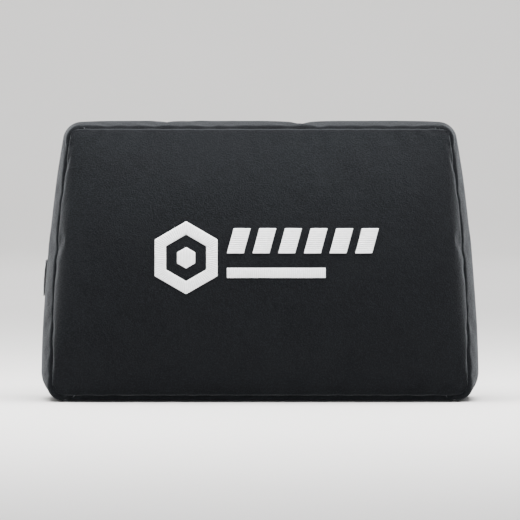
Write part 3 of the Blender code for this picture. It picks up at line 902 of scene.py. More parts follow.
@dataclass(frozen=True)
class CushionForm:
    """The outside of the cover: a rounded trapezoid outline, a crowned face and a bellied gusset.

    The sizes are those of the CAD model. Grids over the face and back run left to right and bottom to top,
    and the gusset's columns follow their edge: along the base, up the right side, back along the top and
    down the left.

    Attributes:
        height, base_width, top_width, thickness: the cushion's sizes, with the sides drawn on to the
            corners.
        base_corner, top_corner: the radii of the outline's corners.
        side_bow: how far the sides bow out between their corners.
        face_lean: how much further back the face seam lies at the top than at the base.
        crown_rise, crown_rounding: how far the face swells from its seam, and how round its section is.
        rim_squareness: how far the crown's height holds towards the sides.
        side_inset_base, side_inset_top, top_inset, base_inset: how far the seams lie inside the gusset's
            belly.
        fullness: how round the gusset's belly is.
        cover, gap: the cover's thickness, and the room between touching pieces.
        stitch_proud: how far the embroidery stands out of the face.
        zip_z: the zip's height.
    """

    height: float = 0.225
    base_width: float = 0.361
    top_width: float = 0.319
    thickness: float = 0.100
    base_corner: float = 0.022
    top_corner: float = 0.016
    side_bow: float = 0.0025
    face_lean: float = 0.026
    crown_rise: float = 0.027
    crown_rounding: float = 0.85
    rim_squareness: float = 6.0
    side_inset_base: float = 0.011
    side_inset_top: float = 0.006
    top_inset: float = 0.005
    base_inset: float = 0.003
    fullness: float = 0.6
    cover: float = 0.002
    stitch_proud: float = 0.0011
    gap: float = 0.0003
    zip_z: float = 45.0 * MM

    @property
    def tilt(self) -> float:
        """How far the sides lean in, as an angle."""
        return math.atan2((self.base_width - self.top_width) / 2, self.height)

    @property
    def middle_z(self) -> float:
        """Half its height."""
        return self.height / 2

    @property
    def back_y(self) -> float:
        """The plane of its back."""
        return self.thickness / 2

    def edge_x(self, radius: float, height: float) -> float:
        """X of a corner's centre, where the corner meets the right side at this height."""
        return self.base_width / 2 - (radius + height * math.sin(self.tilt)) / math.cos(self.tilt)

    def dense_half(self) -> np.ndarray:
        """Columns of the right half, from the base's middle to the top's middle, as (count, 4)."""
        across, up = math.cos(self.tilt), math.sin(self.tilt)
        base_x = self.edge_x(self.base_corner, self.base_corner)
        top_z = self.height - self.top_corner
        top_x = self.edge_x(self.top_corner, top_z)

        def arc(x: float, z: float, radius: float, start: float, end: float) -> np.ndarray:
            """One corner, end to end."""
            angles = np.linspace(start, end, ARC_POINTS)
            cos, sin = np.cos(angles), np.sin(angles)
            return np.stack([x + radius * cos, z + radius * sin, cos, sin], axis=-1)

        low = arc(base_x, self.base_corner, self.base_corner, -math.pi / 2, self.tilt)
        high = arc(top_x, top_z, self.top_corner, self.tilt, math.pi / 2)
        share = np.linspace(0, 1, SIDE_POINTS + 2)[1:-1, None]
        bow = self.side_bow * np.sin(np.pi * share) * np.array([across, up])
        side = low[-1, :2] + (high[0, :2] - low[-1, :2]) * share + bow
        side = np.concatenate([side, np.tile([across, up], (len(side), 1))], axis=1)
        base = np.array([[x, 0.0, 0.0, -1.0] for x in np.linspace(0, base_x, FLAT_POINTS + 1)[:-1]])
        top = np.array([[x, self.height, 0.0, 1.0] for x in np.linspace(top_x, 0, FLAT_POINTS + 1)[1:]])
        return np.concatenate([base, low, side, high, top])

    def loop_columns(self, across: int, up: int) -> Columns:
        """Columns round the outline, bunched towards the middles of its corners.

        Args:
            across: how many steps along the base, and along the top.
            up: how many steps up each side.

        Returns:
            Twice across plus twice up columns, from the bottom left corner's middle.
        """
        half = self.dense_half()
        other = half[::-1][1:-1] * np.array([-1, 1, -1, 1])
        loop = np.concatenate([half, other, half[:1]])
        lengths = np.concatenate([[0], np.cumsum(np.linalg.norm(np.diff(loop[:, :2], axis=0), axis=1))])
        low = lengths[FLAT_POINTS + ARC_POINTS // 2]
        high = lengths[FLAT_POINTS + ARC_POINTS + SIDE_POINTS + ARC_POINTS // 2]
        whole = lengths[-1]
        u, v = (np.sin(np.linspace(-1, 1, n + 1)[:-1] * np.pi / 2) / 2 + 0.5 for n in (across, up))
        places = np.concatenate(
            [
                -low + u * 2 * low,
                low + v * (high - low),
                high + u * (whole - 2 * high),
                whole - high + v * (high - low),
            ]
        )
        parts = [np.interp(places % whole, lengths, loop[:, k]) for k in range(4)]
        size = np.hypot(parts[2], parts[3])
        return Columns(parts[0], parts[1], parts[2] / size, parts[3] / size)

    def seam_inset(self, columns: Columns) -> np.ndarray:
        """How far the seams lie inside each column."""
        share = np.clip(columns.z / self.height, 0, 1)
        side = self.side_inset_base + (self.side_inset_top - self.side_inset_base) * share
        end = np.where(columns.out_z > 0, self.top_inset, self.base_inset)
        return side * columns.out_x**2 + end * columns.out_z**2

    def arch(self, share: np.ndarray) -> np.ndarray:
        """The crown's profile from the base seam, at -1, to the top seam, at 1."""
        return np.maximum(0, 1 - share**2) ** self.crown_rounding

    def seam_plane(self, z: np.ndarray) -> np.ndarray:
        """Y of the face seam's leaning plane."""
        shares = np.linspace(-1, 1, 201)
        reach = (self.crown_rise * self.arch(shares) - self.face_lean * shares / 2).max()
        middle = -self.thickness / 2 + self.stitch_proud + reach
        return middle + self.face_lean * (z - self.middle_z) / self.height

    def seam_line(self, columns: Columns) -> np.ndarray:
        """X and Z of the seams at each column, as (columns, 2)."""
        inset = self.seam_inset(columns)
        return np.stack([columns.x - columns.out_x * inset, columns.z - columns.out_z * inset], axis=-1)

    def half_width(self, z: np.ndarray) -> np.ndarray:
        """Half the back's width between its side seams, at these heights."""
        half = self.dense_half()[FLAT_POINTS:-FLAT_POINTS]
        line = self.seam_line(Columns(*half.T))
        return np.interp(z, line[:, 1], line[:, 0])

    def spread(self, loop: np.ndarray, across: int, up: int) -> np.ndarray:
        """Fills a closed loop of points with a grid, by blending its four edges.

        Args:
            loop: its points, in the order of loop_columns.
            across: its steps along the base.
            up: its steps up a side.

        Returns:
            The grid, as (across + 1, up + 1, ...).
        """
        line = np.concatenate([loop, loop[:1]])
        base = line[: across + 1][:, None]
        right = line[across : across + up + 1][None]
        top = line[across + up : 2 * across + up + 1][::-1][:, None]
        left = line[2 * across + up :][::-1][None]
        u = (np.sin(np.linspace(-1, 1, across + 1) * np.pi / 2) / 2 + 0.5)[:, None, None]
        v = (np.sin(np.linspace(-1, 1, up + 1) * np.pi / 2) / 2 + 0.5)[None, :, None]
        sides = (1 - v) * base + v * top + (1 - u) * left + u * right
        corners = (1 - u) * (1 - v) * base[:1] + u * (1 - v) * base[-1:]
        corners = corners + (1 - u) * v * top[:1] + u * v * top[-1:]
        return sides - corners

    def face(self, columns: Columns, across: int, up: int) -> np.ndarray:
        """The face as a grid of points.

        Args:
            columns: the outline's columns.
            across: its steps along the base.
            up: its steps up a side.

        Returns:
            The points, as (across + 1, up + 1, 3).
        """
        flat = self.spread(self.seam_line(columns), across, up)
        a, b = (np.abs(np.sin(np.linspace(-1, 1, n + 1) * np.pi / 2)) for n in (across, up))
        rim = np.sqrt(np.outer(1 - a**self.rim_squareness, 1 - b**self.rim_squareness))
        x, z = flat[..., 0], flat[..., 1]
        v = (z - self.middle_z) / (self.middle_z - self.base_inset)
        return np.stack([x, self.seam_plane(z) - self.crown_rise * self.arch(v) * rim, z], axis=-1)

    def gusset(self, columns: Columns, steps: int) -> np.ndarray:
        """The gusset as a grid of points, from the face seam to the back seam.

        Args:
            columns: the outline's columns.
            steps: its steps from front to back.

        Returns:
            The points, as (columns, steps + 1, 3).
        """
        t = (1 - np.cos(np.linspace(0, np.pi, steps + 1))) / 2
        rounded = np.sin(np.pi * t) ** self.fullness
        turn = 1 - np.minimum(np.minimum(t, 1 - t) / 0.07, 1)
        flat = np.sqrt(1 - turn**2)
        below = np.where(columns.out_z < 0, columns.out_z**2, 0)[:, None]
        full = rounded + (flat - rounded) * below
        inset = self.seam_inset(columns)[:, None] * (1 - full)
        x = columns.x[:, None] - columns.out_x[:, None] * inset
        z = columns.z[:, None] - columns.out_z[:, None] * inset
        front = self.seam_plane(z)
        return np.stack([x, front + (self.back_y - self.cover - self.gap - front) * t, z], axis=-1)


@dataclass
class SewnCover:
    """The cover's face, gusset strip and base gusset, swollen by the foam under them and sewn together.

    Attributes:
        form: the cushion's outside.
        across, up, around: steps of the coarse grid that is simulated: along the base, up a side, and from
            the face seam to the back seam.
        refine: how many times finer the sewn panels are.
        slack: how far inside its final surface the cloth starts, before the pressure swells it.
        limit: how far it may end from the CAD surface.
        growth: how much larger the cloth is than the foam, as a share.
        cloth: the cloth's thickness.
        groove: how deep a seam pulls in.
        groove_width: how wide its groove is to either side.
        pressure: the simulation's pressure.
        middle: a point inside the cushion.
        face, gusset, columns: the swollen face and gusset, before their seams, and the gusset's columns.
        sewn_face: the finished face panel.
    """

    form: CushionForm
    across: int = 60
    up: int = 42
    around: int = 14
    refine: int = 3
    slack: float = 2.0 * MM
    limit: float = 3.0 * MM
    growth: float = 0.003
    cloth: float = 1.6 * MM
    groove: float = 2.0 * MM
    groove_width: float = 1.9 * MM
    pressure: float = 4.0
    middle: tuple[float, float, float] = (0.0, 0.0, 0.1125)
    face: np.ndarray = field(init=False)
    gusset: np.ndarray = field(init=False)
    columns: Columns = field(init=False)
    sewn_face: bpy.types.Object = field(init=False)

    def build(self, velour: bpy.types.Material) -> None:
        """Builds and dresses the three panels.

        Args:
            velour: their material.
        """
        face_move, gusset_move = self.swelling()
        across, up = self.across * self.refine, self.up * self.refine
        self.columns = self.form.loop_columns(across, up)
        self.face = self.form.face(self.columns, across, up) + face_move
        self.gusset = self.form.gusset(self.columns, self.around * self.refine) + gusset_move
        face, gusset = self.seamed_face(), self.seamed_gusset()
        normals = grid_normals(face, False, self.middle)
        panel = shell("face_panel_velour", face, face - normals * self.cloth)
        dress(panel, velour, Slot.FACE, "face_panel")
        self.sewn_face = panel
        normals = grid_normals(gusset, True, self.middle)
        inner = gusset - normals * self.cloth
        base = self.base_columns()
        strip = np.concatenate([np.arange(base[-1], len(gusset)), np.arange(base[0] + 1)])
        for name, which, node in (
            ("gusset_strip_velour", strip, "boxing_strip"),
            ("base_gusset_velour", base, "boxing_bottom"),
        ):
            piece = shell(name, gusset[which], inner[which])
            dress(piece, velour, Slot.GUSSET, node)

    def base_columns(self) -> np.ndarray:
        """Numbers of the flat base's columns, which the base gusset covers."""
        edge = self.form.edge_x(self.form.base_corner, self.form.base_corner)
        return np.flatnonzero((self.columns.z < 1e-6) & (np.abs(self.columns.x) <= edge + 1e-6))

    def sheet_points(self) -> tuple[np.ndarray, np.ndarray, Columns]:
        """The coarse face and gusset, and their columns."""
        columns = self.form.loop_columns(self.across, self.up)
        face = self.form.face(columns, self.across, self.up)
        return face, self.form.gusset(columns, self.around), columns

    def swelling(self) -> tuple[np.ndarray, np.ndarray]:
        """Returns:
            How far the fine face and gusset move from the plain form.
        """
        face, gusset, columns = self.sheet_points()
        moves = [np.zeros_like(face), np.zeros_like(gusset)]
        moves = self.simulate(face, gusset, columns)
        fine = []
        for move, wrap in zip(moves, (False, True)):
            reach = np.linalg.norm(move, axis=-1, keepdims=True)
            held = move * np.minimum(1, self.limit / np.maximum(reach, 1e-9))
            fine.append(refined(refined(held, self.refine, 0, wrap), self.refine, 1, False))
        return fine[0], fine[1]

    def simulate(self, face: np.ndarray, gusset: np.ndarray, columns: Columns) -> list[np.ndarray]:
        """Runs the cloth: sewn at its seams and flat on its base, it swells until it is taut.

        Args:
            face: the coarse face.
            gusset: the coarse gusset.
            columns: their columns.

        Returns:
            How far the face's and the gusset's points end from where the plain form has them.
        """
        flat = np.clip(-columns.out_z, 0, 1) ** 2
        starts = []
        for grid, wrap, sides, slack in (
            (face, False, (True, True, True, True), self.slack),
            (gusset, True, (False, False, True, True), self.slack * (1 - flat)[:, None]),
        ):
            inward = -grid_normals(grid, wrap, self.middle)
            ease = 1 - np.exp(-from_edges(grid, sides) / (12 * MM))
            starts.append(grid + inward * (ease * slack)[..., None])
        count = face.shape[0] * face.shape[1]
        edge = edge_loop(np.arange(count).reshape(face.shape[:2]))
        rings = gusset.shape[1]
        numbers = np.zeros(gusset.shape[:2], int)
        numbers[:, 0] = edge
        numbers[:, 1:] = count + np.arange(len(edge) * (rings - 1)).reshape(len(edge), rings - 1)
        back_middle = [[0, self.form.back_y, self.form.middle_z]]
        points = np.concatenate([starts[0].reshape(-1, 3), starts[1][:, 1:].reshape(-1, 3), back_middle])
        faces = grid_faces(*face.shape[:2], False)
        for i in range(len(edge)):
            after = (i + 1) % len(edge)
            faces += [
                (numbers[i, j], numbers[i, j + 1], numbers[after, j + 1], numbers[after, j])
                for j in range(rings - 1)
            ]
            faces.append((numbers[i, -1], len(points) - 1, numbers[after, -1]))
        sheet = tidy_mesh(link_mesh("cloth_under_pressure", points, [tuple(map(int, f)) for f in faces]))
        held = np.zeros(len(points))
        held[numbers] = flat[:, None]
        held[edge] = 1
        held[numbers[:, -1]] = 1
        held[-1] = 1
        pins = sheet.vertex_groups.new(name="sewn")
        for number in np.flatnonzero(held > 0.01):
            pins.add([int(number)], float(held[number]), "REPLACE")
        settled = self.settle(sheet)
        bpy.data.objects.remove(sheet)
        return [settled[:count].reshape(face.shape) - face, settled[numbers] - gusset]

    def settle(self, sheet: bpy.types.Object) -> np.ndarray:
        """Steps the cloth simulation.

        Args:
            sheet: the closed, coarse cover, with its sewn points in a vertex group.

        Returns:
            Its points in the last frame.
        """
        cloth = sheet.modifiers.new("Cloth", "CLOTH")
        settings = cloth.settings
        settings.quality = 6
        settings.mass = 0.25
        settings.tension_stiffness = 20
        settings.compression_stiffness = 15
        settings.shear_stiffness = 6
        settings.bending_stiffness = 1.5
        settings.air_damping = 2
        settings.vertex_group_mass = "sewn"
        settings.use_pressure = True
        settings.uniform_pressure_force = self.pressure
        settings.shrink_min = -self.growth
        settings.effector_weights.gravity = 0
        cloth.collision_settings.use_collision = False
        cloth.point_cache.frame_start = 1
        cloth.point_cache.frame_end = 20
        scene = bpy.context.scene
        for frame in range(1, 21):
            scene.frame_set(frame)
        shown = sheet.evaluated_get(bpy.context.evaluated_depsgraph_get())
        points = np.zeros(len(shown.data.vertices) * 3)
        shown.data.vertices.foreach_get("co", points)
        scene.frame_set(1)
        return points.reshape(-1, 3)

    def seam_pull(self, columns: Columns, forward: float) -> np.ndarray:
        """The direction in which a seam pulls both of its panels in.

        Args:
            columns: where along the seam.
            forward: how much of it is along +Y, from -1 to 1.

        Returns:
            Unit directions, as (columns, 3).
        """
        return unit(-columns.outward() * math.sqrt(1 - forward**2) + np.array([0.0, forward, 0.0]))

    def fall(self, distance: np.ndarray) -> np.ndarray:
        """How much of the groove's depth is left at this distance from the seam."""
        return np.exp(-((distance / self.groove_width) ** 2))

    def seamed_face(self) -> np.ndarray:
        """The face with its edge turned in towards the seam."""
        across, up = self.across * self.refine, self.up * self.refine
        pull = self.seam_pull(self.columns, 0.6)
        pull = np.concatenate([pull, pull[:1]])
        base, right = pull[: across + 1], pull[across : across + up + 1]
        top = pull[across + up : 2 * across + up + 1][::-1]
        left = pull[2 * across + up :][::-1]
        total = np.zeros_like(self.face)
        weight = np.full(self.face.shape[:2], 1e-12)
        for sides, directions in (
            ((True, False, False, False), left[None]),
            ((False, True, False, False), right[None]),
            ((False, False, True, False), base[:, None]),
            ((False, False, False, True), top[:, None]),
        ):
            near = self.fall(from_edges(self.face, sides))
            total += directions * near[..., None]
            weight = np.maximum(weight, near)
        return self.face + unit(total) * (self.groove * weight)[..., None]

    def seamed_gusset(self) -> np.ndarray:
        """The gusset with both edges, and the ends of its base, turned in towards their seams."""
        made = self.gusset.copy()
        for sides, forward in (((False, False, True, False), 0.6), ((False, False, False, True), -0.8)):
            near = self.fall(from_edges(self.gusset, sides))
            made += self.seam_pull(self.columns, forward)[:, None] * (self.groove * near)[..., None]
        made[:, 0, 1] += 0.1 * MM
        x, low = np.abs(self.gusset[..., 0]), self.gusset[..., 2] < 3 * MM
        edge = self.form.edge_x(self.form.base_corner, self.form.base_corner)
        near = np.exp(-((np.abs(x - edge) / (0.7 * self.groove_width)) ** 2)) * low
        made[..., 2] += near * 0.6 * self.groove
        return made


@dataclass
class CushionFilling:
    """The moulded foam core in its knitted liner, under the cover, with a soft trough behind the zip.

    Attributes:
        cover: the cover that they fill.
        step: how much coarser they are than the cover.
        liner_depth: how far the liner's outside lies below the cover's.
        liner: the liner's thickness.
        gap: the room between the liner and the foam.
        allowance: how much deeper they lie along the seams, whose turned-in edges need the room.
        back_y: where the liner's outside ends, under the back panels.
        trough_floor: Y of the liner's outside behind the zip.
        trough_half: half the trough's width at its floor.
        trough_ramp: how wide its slopes are.
        end_drop, dip_reach: how far the zip's end tabs press the back edge in, and how far forward
            that reaches.
        seam_width: how far from a seam its turned-in edges still press the filling down.
    """

    cover: SewnCover
    step: int = 3
    liner_depth: float = 2.5 * MM
    liner: float = 0.8 * MM
    gap: float = 0.3 * MM
    allowance: float = 2.6 * MM
    back_y: float = 47.6 * MM
    trough_floor: float = 39.7 * MM
    trough_half: float = 15.5 * MM
    trough_ramp: float = 7.0 * MM
    end_drop: float = 5.0 * MM
    dip_reach: float = 20.0 * MM
    seam_width: float = 5.0 * MM

    def build(self, knit: bpy.types.Material, foam: bpy.types.Material) -> None:
        """Builds and dresses the liner's two sheets and the foam.

        Args:
            knit: the liner's material.
            foam: the core's material.
        """
        inside = self.liner_depth + self.liner
        outer, inner = self.wrapped(self.liner_depth), self.wrapped(inside)
        front = self.sewn("liner_front_knit", [*outer, *inner], rim=(outer[1][:, -1], inner[1][:, -1]))
        under = self.liner_depth + self.liner + self.gap
        sheets = [self.backed(self.wrapped(under + drop)[1][:, -1], drop) for drop in (0.0, self.liner)]
        back = shell("liner_back_knit", *sheets)
        for piece, node in ((front, "liner_front"), (back, "liner_back")):
            dress(piece, knit, Slot.LINER, node)
        face, gusset = self.wrapped(inside + self.gap + self.liner)
        behind = self.backed(gusset[:, -1], self.liner + self.gap)
        core = self.sewn("foam_core_moulded", [face, gusset, behind])
        dress(core, foam, Slot.FOAM, "foam_core")

    def wrapped(self, depth: float) -> tuple[np.ndarray, np.ndarray]:
        """The face and gusset of a layer inside the cover.

        Args:
            depth: how far below the cover's outside it lies.

        Returns:
            The layer's face and gusset, which meet at the seam.
        """
        step, cover = self.step, self.cover
        face, gusset = cover.face[::step, ::step], cover.gusset[::step, ::step]
        pull = cover.seam_pull(cover.columns, 0.6)[::step]
        pulls = (cover.form.spread(pull, face.shape[0] - 1, face.shape[1] - 1), pull[:, None])
        layers = []
        all_round = (True,) * 4
        front_edge, both_edges = (False, False, True, False), (False, False, True, True)
        for grid, wrap, inward, turned, pressed in (
            (face, False, pulls[0], all_round, all_round),
            (gusset, True, pulls[1], front_edge, both_edges),
        ):
            near = self.beside_seam(grid, turned)
            lower = -grid_normals(grid, wrap, cover.middle) * (1 - near) + inward * near
            layers.append(grid + unit(lower) * (depth + self.allowance * self.beside_seam(grid, pressed)))
        layers[1][:, 0] = edge_loop(layers[0])
        layers[1][..., 1] -= self.end_dip(layers[1])
        return layers[0], layers[1]

    def beside_seam(self, grid: np.ndarray, sides: Sequence[bool]) -> np.ndarray:
        """How near points lie to their grid's chosen edges: 1 on them, and 0 well away."""
        return np.exp(-((from_edges(grid, sides) / self.seam_width) ** 2))[..., None]

    def beside_zip(self, grid: np.ndarray) -> np.ndarray:
        """How far points lie in the zip's trough: 1 at its floor's height, 0 beyond its slopes."""
        away = np.abs(grid[..., 2] - self.cover.form.zip_z)
        beyond = np.clip((away - self.trough_half) / self.trough_ramp, 0, 1)
        return 1 - beyond * beyond * (3 - 2 * beyond)

    def end_dip(self, grid: np.ndarray) -> np.ndarray:
        """How far the back edge of a gusset layer is pressed in by the zip's end tabs."""
        behind = np.clip((grid[..., 1] - self.back_y + self.dip_reach) / self.dip_reach, 0, 1)
        return self.end_drop * self.beside_zip(grid) * behind**2

    def backed(self, loop: np.ndarray, drop: float) -> np.ndarray:
        """The flat back of a layer, with its trough.

        Args:
            loop: its edge, which the gusset's last ring gives.
            drop: how far it lies inside the liner's outside.

        Returns:
            Its grid.
        """
        step, cover = self.step, self.cover
        across, up = (cover.across * cover.refine // step, cover.up * cover.refine // step)
        grid = cover.form.spread(loop, across, up)
        away = from_edges(grid, (True,) * 4)
        ease = 1 - np.exp(-((away / (7 * MM)) ** 2))
        target = self.back_y + (self.trough_floor - self.back_y) * self.beside_zip(grid) - drop
        grid[..., 1] += (target - grid[..., 1]) * ease
        return grid

    def sewn(
        self, name: str, grids: Sequence[np.ndarray], rim: tuple[np.ndarray, np.ndarray] | None = None
    ) -> bpy.types.Object:
        """One closed piece of several grids that share their edges.

        Args:
            name: the piece's name.
            grids: the grids; those as long as the cover's columns close on themselves.
            rim: two loops of points between which it is closed.

        Returns:
            The piece.
        """
        points: list[np.ndarray] = []
        faces: list[tuple[int, ...]] = []
        loops = len(self.cover.columns.x) // self.step
        parts = [*grids] + ([np.stack(rim, axis=1)] if rim else [])
        for grid in parts:
            rows, columns = grid.shape[:2]
            faces += grid_faces(rows, columns, rows == loops, sum(len(part) for part in points))
            points.append(grid.reshape(-1, 3))
        return tidy_mesh(link_mesh(name, np.concatenate(points), faces), weld=0.01 * MM)


@dataclass
class BackCover:
    """The two flat back panels, each with an edge folded into the zip's channel and topstitched.

    Attributes:
        form: the cushion's outside.
        cloth: the cloth's thickness.
        mouth: half the channel's width between the folds.
        fold: the radius of each fold.
        turn: the radius at its foot, where the cloth turns under.
        flange_y: Y of the turned-under cloth's lower side, on the tape.
        flange_edge: how far from the zip's line it reaches.
        row: how far from the zip's line the topstitching runs.
        bulge: how far the foam presses the panels' middles out.
        waves: how deep their soft waves are.
        pucker, pucker_pitch: the depth and spacing of the puckers along their seam.
        seam_inset, seam_dive: how far inside the seam's line their cut edge lies, and how deep it is
            turned in.
        stitch, stitch_rise: a stitch's length, and how far its middle stands above its ends.
        pitch, thread: the stitches' spacing, and the thread's radius.
    """

    form: CushionForm
    cloth: float = 1.3 * MM
    mouth: float = 6.0 * MM
    fold: float = 2.0 * MM
    turn: float = 1.5 * MM
    flange_y: float = 43.4 * MM
    flange_edge: float = 13.5 * MM
    row: float = 10.6 * MM
    bulge: float = 1.1 * MM
    waves: float = 0.8 * MM
    pucker: float = 0.4 * MM
    pucker_pitch: float = 11.0 * MM
    seam_inset: float = 1.0 * MM
    seam_dive: float = 1.8 * MM
    stitch: float = 3.1 * MM
    stitch_rise: float = 0.75 * MM
    pitch: float = 4.2 * MM
    thread: float = 0.36 * MM

    def build(self, cloth: bpy.types.Material, thread: bpy.types.Material) -> None:
        """Builds and dresses both panels and their topstitching.

        Args:
            cloth: the panels' material.
            thread: the stitches' material.
        """
        for side, sign in (("upper", 1), ("lower", -1)):
            outer = self.panel(sign)
            normals = grid_normals(outer, False, (0.0, 0.0, self.form.zip_z + sign * 40 * MM))
            piece = shell(f"back_panel_{side}_cloth", outer, outer - normals * self.cloth)
            dress(piece, cloth, Slot.BACK, f"back_panel_{side}")
            z = self.form.zip_z + sign * self.row
            reach = float(self.form.half_width(np.array([z]))[0]) - 3 * MM
            count = int(2 * reach / self.pitch)
            starts = (np.arange(count) - count / 2) * self.pitch
            y = self.form.back_y - self.stitch_rise
            ends = [((x, y, z), (x + self.stitch, y, z)) for x in starts.tolist()]
            paths = [stitch_path(start, end, (0, 1, 0), self.stitch_rise) for start, end in ends]
            row = cords(f"topstitch_{side}", paths, self.thread, sides=6)
            dress(row, thread, Slot.BACK)

    def profile(self) -> list[tuple[float, float]]:
        """The fold in section, as distances from the zip's line and Y, from its turned-under edge on."""
        back = self.form.back_y
        points = [(self.flange_edge, self.flange_y), ((self.flange_edge + self.mouth) / 2, self.flange_y)]
        for k in range(6):
            angle = math.pi / 2 * k / 5
            points.append(
                (
                    self.mouth + self.turn * (1 - math.sin(angle)),
                    self.flange_y + self.turn * (1 - math.cos(angle)),
                )
            )
        for k in range(7):
            angle = math.pi / 2 * k / 6
            points.append(
                (self.mouth + self.fold * (1 - math.cos(angle)), back - self.fold * (1 - math.sin(angle)))
            )
        for away, dip in ((-1.3, 0.02), (-0.8, 0.12), (-0.4, 0.28), (0.0, 0.36), (0.4, 0.28), (0.9, 0.1)):
            points.append((self.row + away * MM, back - dip * MM))
        return points

    def panel(self, sign: int) -> np.ndarray:
        """One back panel's outside.

        Args:
            sign: 1 for the panel above the zip, -1 for the one below.

        Returns:
            Its points, as (places along it, places across it, 3).
        """
        fold = self.profile()
        edge = self.form.seam_line(self.form.loop_columns(200, 120))
        end = edge[:, 1].max() if sign > 0 else edge[:, 1].min()
        first, last = fold[-1][0] + 1.2 * MM, abs(end - self.form.zip_z) - self.seam_inset
        count = max(8, int((last - first) / (2.4 * MM)))
        share = np.sin(np.linspace(0, np.pi / 2, count)) * 0.6 + np.linspace(0, 1, count) * 0.4
        away = np.concatenate([[z for z, _ in fold], first + (last - first) * share])
        depth = np.concatenate([[y for _, y in fold], np.full(count, self.form.back_y)])
        z = self.form.zip_z + sign * away
        across = np.sin(np.linspace(-1, 1, 161) * np.pi / 2) * 0.5 + np.linspace(-1, 1, 161) * 0.5
        tuck = np.interp(depth, [46 * MM, self.form.back_y - 0.1 * MM], [3.4 * MM, 0.0])
        x = across[:, None] * (self.form.half_width(z) - self.seam_inset - tuck)
        z = np.broadcast_to(z, x.shape)
        return np.stack([x, self.soft_depth(x, z, away, depth), z], axis=-1)

    def soft_depth(self, x: np.ndarray, z: np.ndarray, away: np.ndarray, depth: np.ndarray) -> np.ndarray:
        """Y of a panel's points, with its edges turned in and its middle swollen, waved and puckered.

        Args:
            x: their X, as (places along the panel, places across it).
            z: their Z, alike.
            away: their distances from the zip's line, place by place across the panel.
            depth: Y of the plain panel and its fold, alike.

        Returns:
            Their Y.
        """
        near, along = self.seam_room(np.stack([x, z], axis=-1))
        under = self.flange_y + self.cloth
        plate = np.clip((depth - under) / (self.form.back_y - under), 0, 1)
        held = np.clip(1 - (away - self.mouth) / (12 * MM), 0, 1)
        turn = 2.3 * MM * np.exp(-((near / (3.6 * MM)) ** 1.6))
        turn += 0.5 * MM * held * np.exp(-((near / (7 * MM)) ** 2))
        turn += self.seam_dive * np.exp(-(((near - self.seam_inset) / (1.1 * MM)) ** 2))
        free = np.clip((away - self.row - 2 * MM) / (14 * MM), 0, 1)
        inner = free * (1 - np.exp(-near / (16 * MM)))
        swell = np.sin(x / (21 * MM) + 0.9 * np.sin(z / (27 * MM)))
        swell *= np.sin(z / (17 * MM) + x / (70 * MM))
        gathers = np.sin(2 * np.pi * along / self.pucker_pitch + 1.3 * np.sin(along / (37 * MM)))
        fading = np.exp(-near / (6 * MM)) * (1 - np.exp(-near / (1.2 * MM))) * free
        puckers = self.pucker * (1 + gathers) / 2 * fading
        return depth - turn * plate + inner * (self.bulge - self.waves * (1 + swell) / 2) - puckers

    def seam_room(self, places: np.ndarray) -> tuple[np.ndarray, np.ndarray]:
        """Where places on the back lie from its seam.

        Args:
            places: their X and Z, as (rows, columns, 2).

        Returns:
            Their distance from the seam, and how far round it their nearest point is.
        """
        edge = self.form.seam_line(self.form.loop_columns(400, 240))
        lengths = np.concatenate([[0], np.cumsum(np.linalg.norm(np.diff(edge, axis=0), axis=1))])
        near, along = np.zeros(places.shape[:2]), np.zeros(places.shape[:2])
        for i, row in enumerate(places):
            gaps = np.linalg.norm(row[:, None] - edge, axis=-1)
            near[i], along[i] = gaps.min(axis=1), lengths[gaps.argmin(axis=1)]
        return near, along


